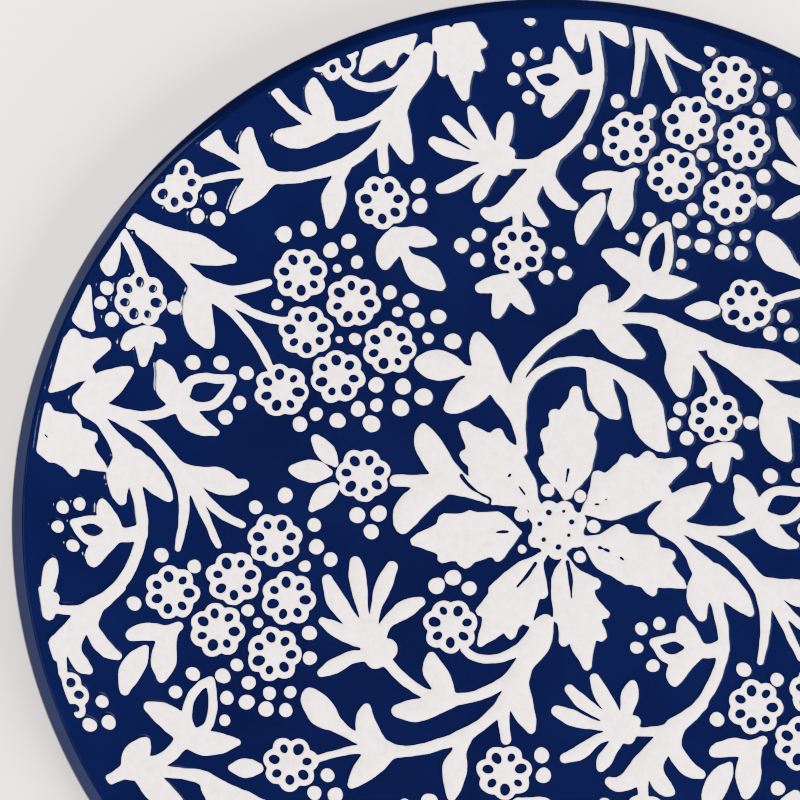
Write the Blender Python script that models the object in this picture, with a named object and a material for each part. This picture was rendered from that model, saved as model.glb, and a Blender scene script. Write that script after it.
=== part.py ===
"""Coupe plate of glazed earthenware with raised white flower decoration.

The clay body is turned on a foot ring and carries a cobalt glaze coat over its face, lip and
outside, and a second glaze disc inside the foot. The decoration of the well is trailed slip:
every flower, leaf, vine, bud, rosette and dot stands above the glaze as a piece of its own.
The decoration repeats over the plate along two directions, so a motif is placed by the stroke
list that draws it and by how many repeats it is shifted.
"""
import math

import bmesh
import bpy
from mathutils import Vector
from mathutils.geometry import delaunay_2d_cdt

MM = 0.001

# Driving dimensions in millimetres. Heights are measured from the resting plane.
FLOOR_RADIUS = 79.0
FLOOR_HEIGHT = 8.5
WALL_ARC = 106.0
WALL_END = 29.6
CREST_ARC = 0.9
CREST_END = 20.0
LIP_ARC = 11.5
LIP_END = 34.0
EDGE_ARC = 1.0
EDGE_END = 150.0
UNDERSIDE_ARC = 110.0
UNDERSIDE_THICKENING = 1.0
FOOT_GLAZE_LINE = 4.0
FOOT_OUTER = 84.4
FOOT_INNER = 77.2
FOOT_LAND_OUTER = 82.4
FOOT_LAND_INNER = 78.6
FOOT_CHAMFER_HEIGHT = 1.2
RECESS_HEIGHT = 3.5
RECESS_GLAZE_RADIUS = 75.8
GLAZE_THICKNESS = 0.4
GAP = 0.3
BODY_DEPTH = GLAZE_THICKNESS + GAP
TURNED_SEGMENTS = 48

# Raised decoration.
RELIEF_THICKNESS = 0.6
REPEAT_ACROSS = (144.2, -28.7)
REPEAT_ALONG = (-29.1, 145.5)
STROKE_STEP = 4.0
MERGE_DISTANCE = 0.12
ROSETTE_RING = 4.15
ROSETTE_LOBE = 2.75
ROSETTE_NOTCH = 6.0
ROSETTE_HOLE = 1.05
ROSETTE_PETALS = 7
CENTRE_RADIUS = 6.3
CENTRE_BUMPS = 7
CENTRE_BUMP_HEIGHT = 0.8

# Brush strokes as (x, y, half width), seen from above with +Y towards the far rim.
STROKES = {
    "left_spray": [
        [(-15.8, 7.8, 1.1), (-20, 10, 1.8), (-25, 12, 2.6), (-29, 12.6, 2.8)],
        [(-22, 11.5, 1.8), (-27, 15, 3), (-30.3, 19.5, 3.5), (-32.3, 23.5, 2.9), (-32.9, 26.6, 1)],
        [(-28, 12.8, 1.9), (-35, 12.8, 1.5), (-40, 12.9, 1.4)],
        [(-28, 12, 2.5), (-33, 8.8, 3.4), (-36.5, 5.5, 3.6), (-38, 2.5, 2.6), (-38.2, 0.6, 1.2)],
    ],
    "upper_vine": [
        [(-8.2, 20.6, 1.2), (-8.8, 26, 1.4), (-10, 31, 2.4), (-13.5, 36.5, 2.8), (-16, 40, 3.2)],
        [(-15.5, 39, 3), (-17.3, 44, 3.4), (-18.6, 48, 2.3), (-19, 50.1, 1.2)],
        [
            (-18, 40.5, 1.7), (-22.5, 41.3, 1.3), (-26, 42.2, 3), (-29.5, 42.6, 3.8),
            (-32.5, 42.8, 2.4), (-34, 43, 0.9),
        ],
        [(-17, 38.8, 2.9), (-21, 35.8, 3.7), (-24.4, 33, 2.6), (-26.5, 31.5, 1.1)],
        [
            (-9.2, 30, 2), (-8, 35, 1.3), (-5, 39.6, 1.25), (-1, 42.4, 1.15), (3, 43.5, 1.2),
            (7, 43.3, 1.3), (11, 42.4, 1.4),
        ],
        [
            (-9.8, 33, 1.8), (-9.5, 37, 1.4), (-8, 41, 1.3), (-4.5, 45.7, 1.25), (0, 49.5, 1.25),
            (4, 52, 1.3), (7, 54, 1.8), (10, 55.6, 2.8),
        ],
        [(9.5, 42.8, 1.6), (11.3, 39, 3), (12, 35, 3.3), (14, 31.5, 2.4), (15.4, 29.8, 1.2)],
        [
            (11, 42.5, 1.5), (14.5, 41.4, 1.4), (18, 38.8, 1.9), (21.3, 35.3, 3.2), (23, 31, 4.1),
            (23.8, 27, 3.9), (25.5, 23.4, 2.6), (27.5, 21.3, 1.1),
        ],
        [(8.5, 54.5, 2.5), (9.8, 58, 3.1), (11.4, 60.6, 2.4), (12.6, 62.4, 1.1)],
        [(12, 56, 2.2), (15, 57.2, 1.6), (18.5, 59, 1.7), (21, 62, 1.8), (22.8, 64.5, 2.4)],
        [(12, 53.5, 2.6), (15, 50.2, 3.4), (18.3, 47.4, 2.9), (21.8, 45.4, 1.2)],
        [
            (11, 55, 2.8), (17, 54.9, 1.5), (22, 54.7, 1.35), (26.5, 53.9, 1.8), (31, 51.6, 2),
            (37.2, 48.6, 2.2),
        ],
        [(28.8, 51.5, 2.4), (31.3, 46.5, 2.9), (31.3, 41, 3.4), (31.9, 37, 2.2), (31.9, 35.8, 1.4)],
        [(30.5, 49.8, 1.8), (33.5, 46.8, 1.6), (36.5, 43.3, 1.3), (38.8, 39.5, 1.3), (40.3, 35.5, 1.3)],
    ],
    "upper_bud": [
        [(23, 64.5, 2.4), (20.5, 67.3, 3.2), (17, 70, 2.8), (13.6, 71.4, 1.3)],
        [(23.5, 63.7, 2.2), (27, 63, 3.2), (30.5, 62.9, 2.8), (33.5, 63.1, 1.6), (35.5, 63.3, 0.8)],
        [(23.7, 66, 1.6), (23, 69.5, 1.1), (24, 74, 1.1), (26.4, 77.4, 1), (28.8, 78.9, 0.9)],
        [(25.7, 65.3, 1.3), (28.3, 67.2, 1.1), (29.4, 71, 1), (29.5, 75, 1), (29, 78.9, 0.9)],
    ],
    "wall_branch": [
        [
            (-106.5, 78, 1.4), (-102, 75, 2.3), (-96, 72.6, 3.3), (-90, 71.3, 3.7), (-85, 69.9, 2.4),
            (-80.7, 69.2, 1.1),
        ],
        [(-104, 74.6, 1.6), (-100, 72.2, 1.8), (-96, 69, 1.9), (-92.6, 66, 1.8), (-89.5, 62.8, 2.3)],
        [(-88.5, 61.8, 2.5), (-82, 61.3, 1.3), (-77, 62, 1.1), (-71.4, 63.7, 0.95)],
        [(-89, 62, 2.4), (-89.4, 57, 3.5), (-88.8, 52.5, 3.6), (-87.1, 48.9, 2.1), (-86.3, 47.7, 1.2)],
        [(-86, 60.4, 1.8), (-81.5, 56.6, 1.05), (-77, 51.9, 1), (-73.4, 46.6, 1), (-70.9, 41.5, 0.9)],
        [(-85, 60.6, 1.6), (-79.5, 58, 1.2), (-75, 55.7, 1), (-70, 54.2, 0.9), (-67, 54, 0.9)],
    ],
    "side_vine": [
        [(-118.8, 31.3, 2.4), (-115, 34, 3.6), (-111.5, 36.3, 3.4), (-108.5, 38.6, 2.1), (-106.6, 40, 1)],
        [(-118, 30.8, 2.2), (-111, 29.4, 1.4), (-105, 28.8, 1.15), (-100, 29.1, 1.1), (-95.5, 31, 1.5)],
        [
            (-114, 29.6, 1), (-108, 27.3, 1.3), (-103, 25, 1.5), (-98.5, 21, 1.6), (-95.3, 17, 1.8),
            (-92.5, 14, 2.6),
        ],
        [
            (-117.5, 29.8, 2.2), (-113.8, 26.8, 1.5), (-110.8, 23, 1.7), (-107.5, 18.5, 2.9),
            (-105.4, 13.5, 2.6),
        ],
        [(-107.5, 18.5, 2.2), (-109, 13.5, 3), (-109, 9.5, 2.1), (-108.4, 7.1, 1.3)],
        [(-105, 17.8, 2.6), (-101.6, 14.2, 3.1), (-98.6, 10.8, 2.4), (-96.5, 8.2, 1.1)],
        [
            (-105.3, 13, 1.6), (-104.3, 9, 1.4), (-103.4, 4.5, 1.35), (-103.1, 0, 1.3),
            (-104, -5, 1.3), (-106, -10, 1.3), (-109, -14.8, 1.35), (-112.8, -18.4, 1.5),
            (-116, -20.6, 1.9),
        ],
        [(-92, 14.6, 2.3), (-88, 14, 2.3), (-84, 12.9, 3.3), (-80.5, 11.5, 2.2), (-77.8, 11.9, 1.35)],
        [(-93, 13.5, 2), (-92.6, 8, 1.3), (-92.8, 3, 1.1), (-94.1, -4.6, 0.75)],
        [(-90.8, 11.8, 1.3), (-88.7, 7, 1.1), (-86.5, 2, 0.95), (-84.1, -3.6, 0.8)],
        [(-89.3, 11, 1.1), (-86, 6.9, 1.1), (-82.5, 3.9, 1), (-78, 1.7, 0.85)],
    ],
    "side_bud": [
        [(-94.5, 33, 2.2), (-96.6, 36, 3.1), (-97.2, 39.4, 2.3), (-98.7, 42, 1.1)],
        [(-93, 31.5, 2.2), (-91, 28.6, 2.7), (-88, 26.4, 2), (-84.7, 25.2, 0.95)],
        [(-93, 34.8, 1.6), (-91, 38, 1.2), (-88, 39.1, 1.1), (-84, 38.8, 1.1), (-80.7, 39.2, 1)],
        [(-93, 32.6, 1.6), (-89, 31.7, 1.1), (-85.5, 32.2, 1.1), (-82.6, 35, 1.1), (-80.6, 38.6, 1)],
    ],
    "leaf_fan": [
        [(0, 96.2, 2), (-0.8, 91.5, 1.7), (0.6, 88, 2), (3, 85.3, 1.9), (5.6, 84.1, 1.1)],
        [(-3, 93, 2.4), (-5.7, 87.5, 2.3), (-5.4, 84, 2), (-3.6, 80.9, 2), (-1.8, 79.7, 1)],
        [(-4.5, 91, 2.6), (-8.3, 86.3, 2.9), (-12, 82.8, 2.2), (-15, 81.7, 1.8), (-16.8, 82.3, 1.2)],
        [(-8.2, 86, 1.6), (-8.7, 82, 1.2), (-8.6, 78, 1.1)],
        [(0, 96.5, 2), (3.2, 98.6, 1.5), (6.5, 101.6, 1.3)],
        [(0, 96.2, 1.9), (-4, 95, 1.2), (-9, 94.7, 1.05), (-12, 95.3, 1.4)],
    ],
    "half_daisy": [
        [(-12.3, 96.4, 2.6), (-12, 95.6, 2.6)],
        [(-10.9, 97.2, 1.5), (-10.6, 97.4, 1.5)],
        [(-12, 93.2, 1.5), (-12.2, 93.3, 1.5)],
        [(-12.8, 98, 1.2), (-12, 101.5, 1.8), (-11.5, 104.4, 2), (-10.8, 106.7, 1)],
        [(-14.3, 97.5, 1.1), (-16.8, 101.5, 1.7), (-18.9, 105, 1.8), (-20.2, 108.3, 1)],
        [(-15.2, 96.9, 1), (-19.5, 99.5, 1.2), (-23.5, 102.5, 1.6), (-26.5, 105.5, 1.1)],
        [(-15.5, 95.8, 1), (-20.5, 96.6, 1.2), (-26, 98.3, 1.9), (-29.7, 100.1, 1.3)],
        [(-14.5, 94.6, 1.1), (-19.5, 92.9, 1.2), (-24, 89.7, 1.7), (-27.9, 88.2, 1.2)],
        [(-13.5, 94, 1.2), (-16.2, 90.6, 1.5), (-18, 87.8, 1.8), (-18.9, 85.8, 1)],
    ],
    "stem_bud": [
        [(5, 116.3, 2), (3, 119.4, 2.4), (2.1, 121.8, 1.6), (1.9, 123, 0.9)],
        [(4.5, 114.6, 2.2), (1.8, 112, 2.5), (-0.2, 109, 2.2), (-0.4, 107.3, 1)],
        [(4, 117, 1.6), (0, 118.5, 1), (-3.5, 117.8, 0.9), (-5.5, 117.3, 0.85)],
        [(4, 114.3, 1.6), (0, 113, 1.2), (-3, 113.8, 1), (-5.3, 116.8, 0.8)],
        [(4.2, 115.6, 1.9), (8, 115.1, 1.7), (11.3, 115.8, 2)],
    ],
    "big_daisy": [
        [(-44.6, -30.6, 3.6), (-45.2, -30, 3.6)],
        [(-42.2, -29.6, 2.3), (-42.2, -30, 2.3)],
        [(-45, -32.6, 2.1), (-45.4, -32.6, 2.1)],
        [(-47, -31.2, 1.2), (-51.5, -32, 1.5), (-55.5, -34.2, 1.8), (-58.6, -35.8, 0.9)],
        [(-47, -28.7, 1.2), (-51, -27.2, 1.5), (-55, -24.8, 1.8), (-58.3, -22.8, 1)],
        [(-47.5, -26.8, 1.3), (-51.5, -22.3, 1.9), (-55.2, -17, 2.2), (-57, -12.3, 1.2)],
        [(-46.8, -26, 1.2), (-48.4, -19.5, 1.3), (-49.5, -12.5, 2.1), (-50, -7.8, 1.4)],
        [(-46, -25, 1.1), (-45, -19.5, 1.2), (-43, -13.5, 2), (-41, -9, 1.3)],
        [(-44.2, -27, 1.5), (-42.3, -23.2, 1.3), (-38, -19.8, 2.2), (-34, -17.9, 1.2)],
    ],
    "lower_vine": [
        [(-42.3, -33.3, 1.3), (-38.5, -37.2, 1.2), (-34.5, -40.2, 1.2), (-30, -42.3, 1.6)],
        [(-27.5, -42.3, 1.9), (-29, -38.5, 2.7), (-31, -34.8, 2.6), (-31.4, -31.7, 1.1)],
        [(-27, -42.8, 1.8), (-31, -44.2, 2.4), (-35.5, -45.3, 2.8), (-39.8, -45.3, 1.6)],
        [
            (-3, -23, 1.9), (-4.4, -28, 2.6), (-8, -33, 2.2), (-12, -37, 1.5), (-17, -40.2, 1.3),
            (-22, -42, 1.25), (-27.5, -42.6, 1.6),
        ],
        [
            (-4, -23.5, 1.8), (-7.8, -28.2, 1.5), (-12, -31.2, 1.15), (-17, -32.4, 1),
            (-21, -31.7, 0.95), (-23.3, -30, 0.9),
        ],
        [
            (-8, -33, 2), (-10, -38, 2.3), (-12.5, -42, 2), (-15, -45, 1.5), (-19.5, -49, 1.4),
            (-24, -51.8, 1.6), (-29, -53.6, 1.4), (-35, -55.2, 1.3), (-40, -55.5, 1.5),
            (-44, -54.9, 2.4),
        ],
        [(-9.8, -39, 2.3), (-9.3, -44, 2.9), (-7.9, -47.8, 2), (-7, -50, 1.1)],
        [(-13.4, -43, 1.5), (-13.7, -48, 1.25), (-13.2, -52.5, 1.2)],
        [(-23.5, -52.2, 1.8), (-25, -56, 1.7), (-25.9, -60, 3), (-26.4, -64.5, 1.9), (-26.8, -66.7, 1.1)],
        [(-45.5, -53.5, 2.6), (-47.6, -49.5, 2.6), (-48, -46.5, 1.9), (-47.7, -44.6, 1.1)],
        [(-43, -55.8, 2.4), (-46.3, -58.4, 3.1), (-49.3, -61.4, 2.2), (-51.4, -63.9, 0.9)],
        [(-45.5, -54.8, 1.6), (-50, -55, 0.95), (-55, -56, 0.8), (-60.5, -57.6, 0.7)],
        [
            (-46.5, -53.6, 1.6), (-51.5, -51.3, 1.2), (-55.5, -48.6, 1.9), (-58.6, -45.7, 3.4),
            (-61, -42.5, 2.6), (-61.8, -40.8, 1.3),
        ],
    ],
    "sprig_leaf": [
        [(-81, -60, 0.8), (-77.5, -60, 2.4), (-74.6, -59.9, 1.4)],
    ],
    "upper_sprig": [
        [(-39.5, 77, 1.4), (-36.8, 76.2, 2.1), (-33.5, 75.8, 2.6), (-30.4, 75, 1.2)],
        [(-39.6, 76.6, 1.5), (-41, 73.3, 3), (-42, 70.3, 2.3), (-42.2, 68.4, 1.1)],
        [(-38.4, 75, 1.4), (-36.5, 70.6, 1.5), (-33, 67, 3.4), (-30.4, 64.9, 2.7), (-28.4, 63.2, 1.3)],
    ],
    "bent_sprig": [
        [(21.1, 92.5, 1.1), (18, 90.7, 1.8), (14, 90.8, 2.2), (10.5, 90.2, 1.9), (9.2, 89.6, 1.3)],
        [(19.3, 91, 1.7), (17.9, 87.5, 2.6), (17.3, 83.5, 3.1), (16.9, 80.3, 1.8), (16.7, 79.1, 1.2)],
    ],
    "loose_leaf": [
        [(12.7, 86.4, 0.9), (10.8, 83.4, 2.5), (8.6, 79.6, 2.7), (7.6, 76.5, 1.6), (7.4, 75.1, 1.1)],
    ],
    "three_lobe": [
        [(-11.3, 64.2, 2.2), (-15, 63.6, 2.1), (-18.1, 62.6, 1.3)],
        [(-12, 63, 2.4), (-13.2, 59, 2.2), (-14.1, 56, 1.2)],
        [(-11, 63.3, 2.5), (-8.3, 60, 2.4), (-6.2, 57.2, 1.3)],
    ],
    "small_lobe": [
        [(-103.3, 49.3, 2), (-106, 48.3, 1.8), (-107.4, 46.3, 1.4)],
        [(-102.6, 49, 2.3), (-102.8, 45.5, 2.1), (-103, 42.3, 1.1)],
        [(-102.2, 49.6, 1.8), (-99.5, 49.4, 1.6), (-98.5, 48.2, 1.1)],
    ],
    "side_leaf_a": [
        [(-55, 17.2, 0.8), (-57.2, 20.4, 2.3), (-59.7, 23.5, 1.2)],
    ],
    "side_leaf_b": [
        [(-56.5, 15.1, 0.9), (-60.3, 15.3, 2.8), (-63.8, 15.6, 2), (-65.4, 15.8, 1)],
    ],
    "side_leaf_c": [
        [(-55.5, 11, 1.4), (-58, 8.9, 2.4), (-60.8, 5.9, 0.9)],
    ],
}

# Serrated outlines of the flower's leaves, seen from above
FLOWER_LEAVES = [
    [
        (2.2, 8), (0.8, 10.2), (-1.5, 12.8), (-3.3, 15), (-4.3, 17.2), (-3.9, 18.9), (-2.6, 19.7),
        (-2.9, 22.2), (-3.8, 24.6), (-3.2, 26), (-1.5, 26.8), (-1.3, 28.4), (-1.6, 30), (-0.9, 31.1),
        (0.3, 31.5), (1.2, 30.8), (2.2, 32.2), (3.6, 34), (4.1, 36), (4.8, 37.1), (6, 37.1),
        (6.8, 36.2), (6.9, 34.5), (7.5, 32.3), (8.2, 30.7), (9.9, 30.4), (10.9, 29.1), (10.5, 27),
        (9.6, 24.7), (10.3, 22.8), (10.3, 21), (9.6, 18.6), (9, 16), (8, 14), (6.5, 12), (5, 10.5),
        (3.8, 8.6),
    ],
    [
        (6, 4.6), (7, 7), (8, 9.5), (8.5, 11), (9, 13.5), (9.6, 15.1), (11, 15.4), (12.3, 14.7),
        (14, 16), (15.6, 17.5), (16.4, 19), (17.6, 19.8), (18.8, 19.5), (19.7, 18.4), (21, 18.9),
        (22, 20.2), (23.2, 20.6), (24.4, 19.9), (25.2, 18.6), (27.5, 18.2), (29.5, 18.7), (31.5, 19),
        (32.8, 18), (32.7, 16.3), (31, 14.8), (29, 13), (27.8, 11.5), (28.6, 10.4), (28.7, 9.3),
        (27.5, 8.3), (24.5, 7.5), (22.5, 6.3), (20.5, 5), (17.5, 4), (15, 3.1), (13, 2.9), (10.5, 3.3),
        (7.5, 4.1),
    ],
    [
        (5.8, -1.4), (8.5, -1.2), (11, -0.8), (13, 0.5), (15.3, 1.7), (17.1, 1.2), (18.2, -0.5),
        (21, -0.9), (24, -1), (25.2, -1.9), (25.6, -4.3), (27.5, -4.6), (29.4, -5.2), (29.6, -6.8),
        (28.5, -8), (29.5, -10), (31.5, -12.5), (32.3, -14.6), (28, -14.4), (24.9, -14.3),
        (24.8, -15.9), (23.7, -16.7), (22.3, -15.8), (21, -14.2), (18.5, -13.4), (17, -13.5),
        (14, -11.6), (12, -10.6), (10, -9.4), (8.5, -7), (7, -4), (5.4, -2.6),
    ],
    [
        (2, -5.6), (0.8, -8.2), (-0.5, -9.8), (-1.3, -12), (-1.5, -15), (-1.2, -19), (-1.1, -22.4),
        (0.1, -23.4), (0.2, -26), (0.2, -28.2), (1, -29.2), (2, -29.1), (2.8, -28.2), (3.5, -30),
        (5, -32.5), (6.2, -34.8), (7.1, -35.3), (8.2, -34.5), (8.3, -32), (8.9, -29), (9.3, -27.5),
        (10.9, -28), (12.2, -26.9), (11.7, -25), (10.8, -23.2), (11, -22.2), (12.4, -22),
        (12.8, -20.8), (11.8, -19.7), (10.4, -18), (9.3, -16), (9, -14.8), (10.3, -14.3),
        (10.8, -13.1), (10.2, -12.2), (8, -11.1), (6, -10.1), (4.4, -8.8), (3.2, -7),
    ],
    [
        (-3.4, -5), (-6.5, -6.6), (-9.5, -7.9), (-13.5, -11), (-17, -14.3), (-17, -15.8), (-18.6, -18),
        (-20.3, -20), (-19.9, -21.2), (-18.7, -21.6), (-19, -24), (-19.7, -26.5), (-20, -28.8),
        (-19.2, -29.5), (-17.5, -28.3), (-15.5, -27), (-13.3, -25.4), (-12.7, -26.8), (-11.7, -27.5),
        (-10.6, -26.6), (-9.9, -24.6), (-8.7, -23.4), (-7.2, -24.1), (-6.3, -23.4), (-5.7, -21),
        (-4.6, -17.1), (-3.2, -17.1), (-2.3, -16), (-2.6, -13), (-3.2, -10.5), (-3.5, -8),
        (-2.2, -5.6),
    ],
    [
        (-6.4, 0.2), (-8.9, 0.5), (-10.2, 1.6), (-12.5, 3.8), (-14.5, 4.9), (-17, 4.8), (-19.5, 4.9),
        (-21.6, 5.4), (-23.3, 4.5), (-26, 4.4), (-28, 4.6), (-29.3, 3.8), (-29.8, 1.9), (-32, 0.5),
        (-34.5, -0.6), (-36.4, -2), (-36.1, -3.5), (-33.5, -4.2), (-31, -5), (-29.3, -5.8),
        (-29.5, -7.3), (-28.5, -8.1), (-26.5, -7.5), (-25, -7.4), (-24.2, -8.8), (-22.9, -9.5),
        (-21.4, -8.8), (-20.5, -7.7), (-18.5, -7.2), (-17, -6.6), (-15.9, -6.6), (-15.3, -7.8),
        (-14.2, -7.8), (-13.2, -6.7), (-12, -4.8), (-10.3, -2.5), (-8.8, -0.7), (-6.4, -0.6),
    ],
    [
        (-3.6, 6.4), (-4.5, 8.5), (-4.6, 11), (-5.2, 13.2), (-6.5, 16), (-7.9, 18.8), (-8.6, 21),
        (-10, 22), (-11.5, 22.8), (-12.4, 24), (-13.3, 25.9), (-14.2, 26.2), (-15.2, 25.9),
        (-16.2, 24.9), (-18.5, 26), (-20.5, 27), (-22, 28.1), (-23.5, 28), (-24.1, 27), (-23.3, 25),
        (-22.5, 22.5), (-22.2, 21), (-23.5, 20.5), (-24, 19.5), (-23.2, 18), (-21.7, 16.7),
        (-21.7, 15), (-21.4, 13.5), (-20, 12.3), (-18, 11), (-15.7, 9.2), (-15.6, 6.9), (-13, 6.5),
        (-10, 6.4), (-7, 5.7), (-5, 4),
    ],
]

# name, stroke lists that make it, and the repeats (across, along) each of them is shifted by
TRAILED = [
    ("upper_vine", [("upper_vine", 0, 0), ("wall_branch", 1, 0)]),
    ("lower_vine", [("lower_vine", 0, 0)]),
    ("right_vine", [("side_vine", 1, 0), ("leaf_fan", 0, -1)]),
    ("left_spray", [("left_spray", 0, 0)]),
    ("upper_bud", [("upper_bud", 0, 0)]),
    ("right_bud", [("side_bud", 1, 0)]),
    ("stem_bud", [("stem_bud", 0, -1)]),
    ("half_daisy", [("half_daisy", 0, -1)]),
    ("big_daisy", [("big_daisy", 0, 0)]),
    ("upper_sprig", [("upper_sprig", 0, 0)]),
    ("lower_sprig", [("upper_sprig", 0, -1)]),
    ("bent_sprig", [("bent_sprig", 0, -1)]),
    ("loose_leaf", [("loose_leaf", 0, -1)]),
    ("rosette_leaf", [("sprig_leaf", 1, 1)]),
    ("three_lobe_leaf", [("three_lobe", 0, 0)]),
    ("small_lobe_leaf", [("small_lobe", 1, 0)]),
    ("side_leaf_1", [("side_leaf_a", 0, 0)]),
    ("side_leaf_2", [("side_leaf_b", 0, 0)]),
    ("side_leaf_3", [("side_leaf_c", 0, 0)]),
]

# x, y, turn in degrees
ROSETTES = [
    (-26.6, -24.0, 11.5), (-13.7, -60.9, 13.7), (-48.0, 14.3, 16.0), (-41.2, 47.0, 44.0),
    (-54.2, 39.7, 44.0), (-68.2, 36.1, 45.5), (-66.7, -17.0, 45.6), (-8.5, 72.3, 9.4),
    (48.7, 58.1, 10.2), (40.2, 29.3, 41.5), (48.6, -44.5, 50.2), (64.0, -40.6, 12.4),
    (20.6, -73.2, 9.4), (76.0, 7.4, 45.5),
]

# x, y, radius of the dots round the flower and of two of the groups beside rosettes
DOTS = [
    (-2.1, 10.4, 1.75), (6.1, 9.0, 1.6), (9.3, 1.3, 1.7), (5.7, -6.5, 1.5), (-8.6, -4.6, 1.15),
    (-8.7, 4.2, 1.8), (-49.5, 4.1, 2.0), (-44.2, 4.5, 2.0), (-46.1, 0.0, 1.95),
    (-30.0, -13.8, 2.05), (-25.8, -11.7, 2.0), (-21.9, -14.5, 1.85),
]


def material(name, colour, roughness):
    """One Principled material."""
    made = bpy.data.materials.new(name)
    made.use_nodes = True
    shader = made.node_tree.nodes["Principled BSDF"]
    shader.inputs["Base Color"].default_value = (*colour, 1.0)
    shader.inputs["Roughness"].default_value = roughness
    shader.inputs["Metallic"].default_value = 0.0
    return made


def add_object(name, mesh_builder, surface):
    """Link a new object that holds the finished bmesh."""
    mesh = bpy.data.meshes.new(name)
    mesh_builder.to_mesh(mesh)
    mesh_builder.free()
    mesh.materials.append(surface)
    mesh.shade_smooth()
    mesh.set_sharp_from_angle(angle=math.radians(35.0))
    made = bpy.data.objects.new(name, mesh)
    bpy.context.scene.collection.objects.link(made)
    return made


# ---------------------------------------------------------------- turned pieces

def arc_points(centre, radius, start, end, steps):
    """Points (r, z) along an arc; the angle is the tilt of the surface normal from straight up."""
    points = []
    for step in range(steps + 1):
        angle = math.radians(start + (end - start) * step / steps)
        points.append((centre[0] + radius * math.sin(angle), centre[1] + radius * math.cos(angle)))
    return points


def arc_centre(point, radius, angle):
    """Centre of a convex arc that leaves `point` with its normal tilted by `angle`."""
    tilt = math.radians(angle)
    return (point[0] - radius * math.sin(tilt), point[1] - radius * math.cos(tilt))


def face_and_lip(depth):
    """Profile from the axis over the well, up the wall and round the lip, `depth` under the skin."""
    wall_centre = (FLOOR_RADIUS, FLOOR_HEIGHT + WALL_ARC)
    wall = [
        (2 * wall_centre[0] - r, 2 * wall_centre[1] - z)
        for r, z in arc_points(wall_centre, WALL_ARC + depth, 0.0, -WALL_END, 6)
    ]
    wall_top = arc_points(wall_centre, -WALL_ARC, -WALL_END, -WALL_END, 1)[0]
    crest_centre = arc_centre(wall_top, CREST_ARC, -WALL_END)
    crest_top = arc_points(crest_centre, CREST_ARC, CREST_END, CREST_END, 1)[0]
    lip_centre = arc_centre(crest_top, LIP_ARC, CREST_END)
    lip_end = arc_points(lip_centre, LIP_ARC, LIP_END, LIP_END, 1)[0]
    edge_centre = arc_centre(lip_end, EDGE_ARC, LIP_END)
    crest = arc_points(crest_centre, CREST_ARC - depth, -WALL_END, CREST_END, 2)
    lip = arc_points(lip_centre, LIP_ARC - depth, CREST_END, LIP_END, 2)
    edge = arc_points(edge_centre, EDGE_ARC - depth, LIP_END, EDGE_END, 3)
    return [(0.0, FLOOR_HEIGHT - depth)] + wall + crest[1:] + lip[1:] + edge[1:]


def underside(depth, last_angle):
    """Outside of the wall from the lip down towards the foot, `depth` under the skin."""
    centre = (FLOOR_RADIUS, FLOOR_HEIGHT + WALL_ARC)
    first_angle = 180.0 - EDGE_END
    points = []
    for step in range(1, 6):
        tilt = first_angle + (last_angle - first_angle) * step / 5
        radius = UNDERSIDE_ARC + UNDERSIDE_THICKENING * (1.0 - tilt / first_angle) - depth
        angle = math.radians(tilt)
        points.append((centre[0] + radius * math.sin(angle), centre[1] - radius * math.cos(angle)))
    return points


def turned(name, profile, surface):
    """Spin a closed profile of (r, z) points into one solid."""
    shape = bmesh.new()
    corners = [shape.verts.new((r * MM, 0.0, z * MM)) for r, z in profile]
    edges = [shape.edges.new(pair) for pair in zip(corners, corners[1:])]
    if profile[0][0] > 0.0:
        edges.append(shape.edges.new((corners[-1], corners[0])))
    bmesh.ops.spin(
        shape, geom=corners + edges, cent=(0, 0, 0), axis=(0, 0, 1), angle=2 * math.pi,
        steps=TURNED_SEGMENTS, use_merge=True, use_duplicate=False,
    )
    bmesh.ops.remove_doubles(shape, verts=shape.verts, dist=1e-6)
    bmesh.ops.recalc_face_normals(shape, faces=shape.faces)
    return add_object(name, shape, surface)


def plate_body(surface):
    """Fired clay: plate with its foot ring, inside the glaze coat."""
    foot = [
        (FOOT_OUTER, FOOT_CHAMFER_HEIGHT), (FOOT_LAND_OUTER, 0.0), (FOOT_LAND_INNER, 0.0),
        (FOOT_INNER, FOOT_CHAMFER_HEIGHT), (FOOT_INNER, RECESS_HEIGHT + BODY_DEPTH),
        (0.0, RECESS_HEIGHT + BODY_DEPTH),
    ]
    shoulder = [(FOOT_OUTER, RECESS_HEIGHT + BODY_DEPTH)]
    profile = face_and_lip(BODY_DEPTH) + underside(BODY_DEPTH, FOOT_GLAZE_LINE) + shoulder + foot
    return turned("plate_body", profile, surface)


def cobalt_glaze(surface):
    """Glaze coat from the centre of the well, over the lip and down the outside to the foot."""
    outer = face_and_lip(0.0) + underside(0.0, FOOT_GLAZE_LINE)
    inner = face_and_lip(GLAZE_THICKNESS) + underside(GLAZE_THICKNESS, FOOT_GLAZE_LINE)
    return turned("cobalt_glaze", outer + inner[::-1], surface)


def underside_glaze(surface):
    """Glaze disc inside the foot ring."""
    top = RECESS_HEIGHT + GLAZE_THICKNESS
    profile = [(0.0, top), (RECESS_GLAZE_RADIUS, top), (RECESS_GLAZE_RADIUS, RECESS_HEIGHT),
               (0.0, RECESS_HEIGHT)]
    return turned("underside_glaze", profile, surface)


# ---------------------------------------------------------------- raised decoration

def well_height(radius):
    """Height of the glazed face at a distance from the axis."""
    past = max(0.0, radius - FLOOR_RADIUS)
    return FLOOR_HEIGHT + WALL_ARC - math.sqrt(WALL_ARC ** 2 - past ** 2)


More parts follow.
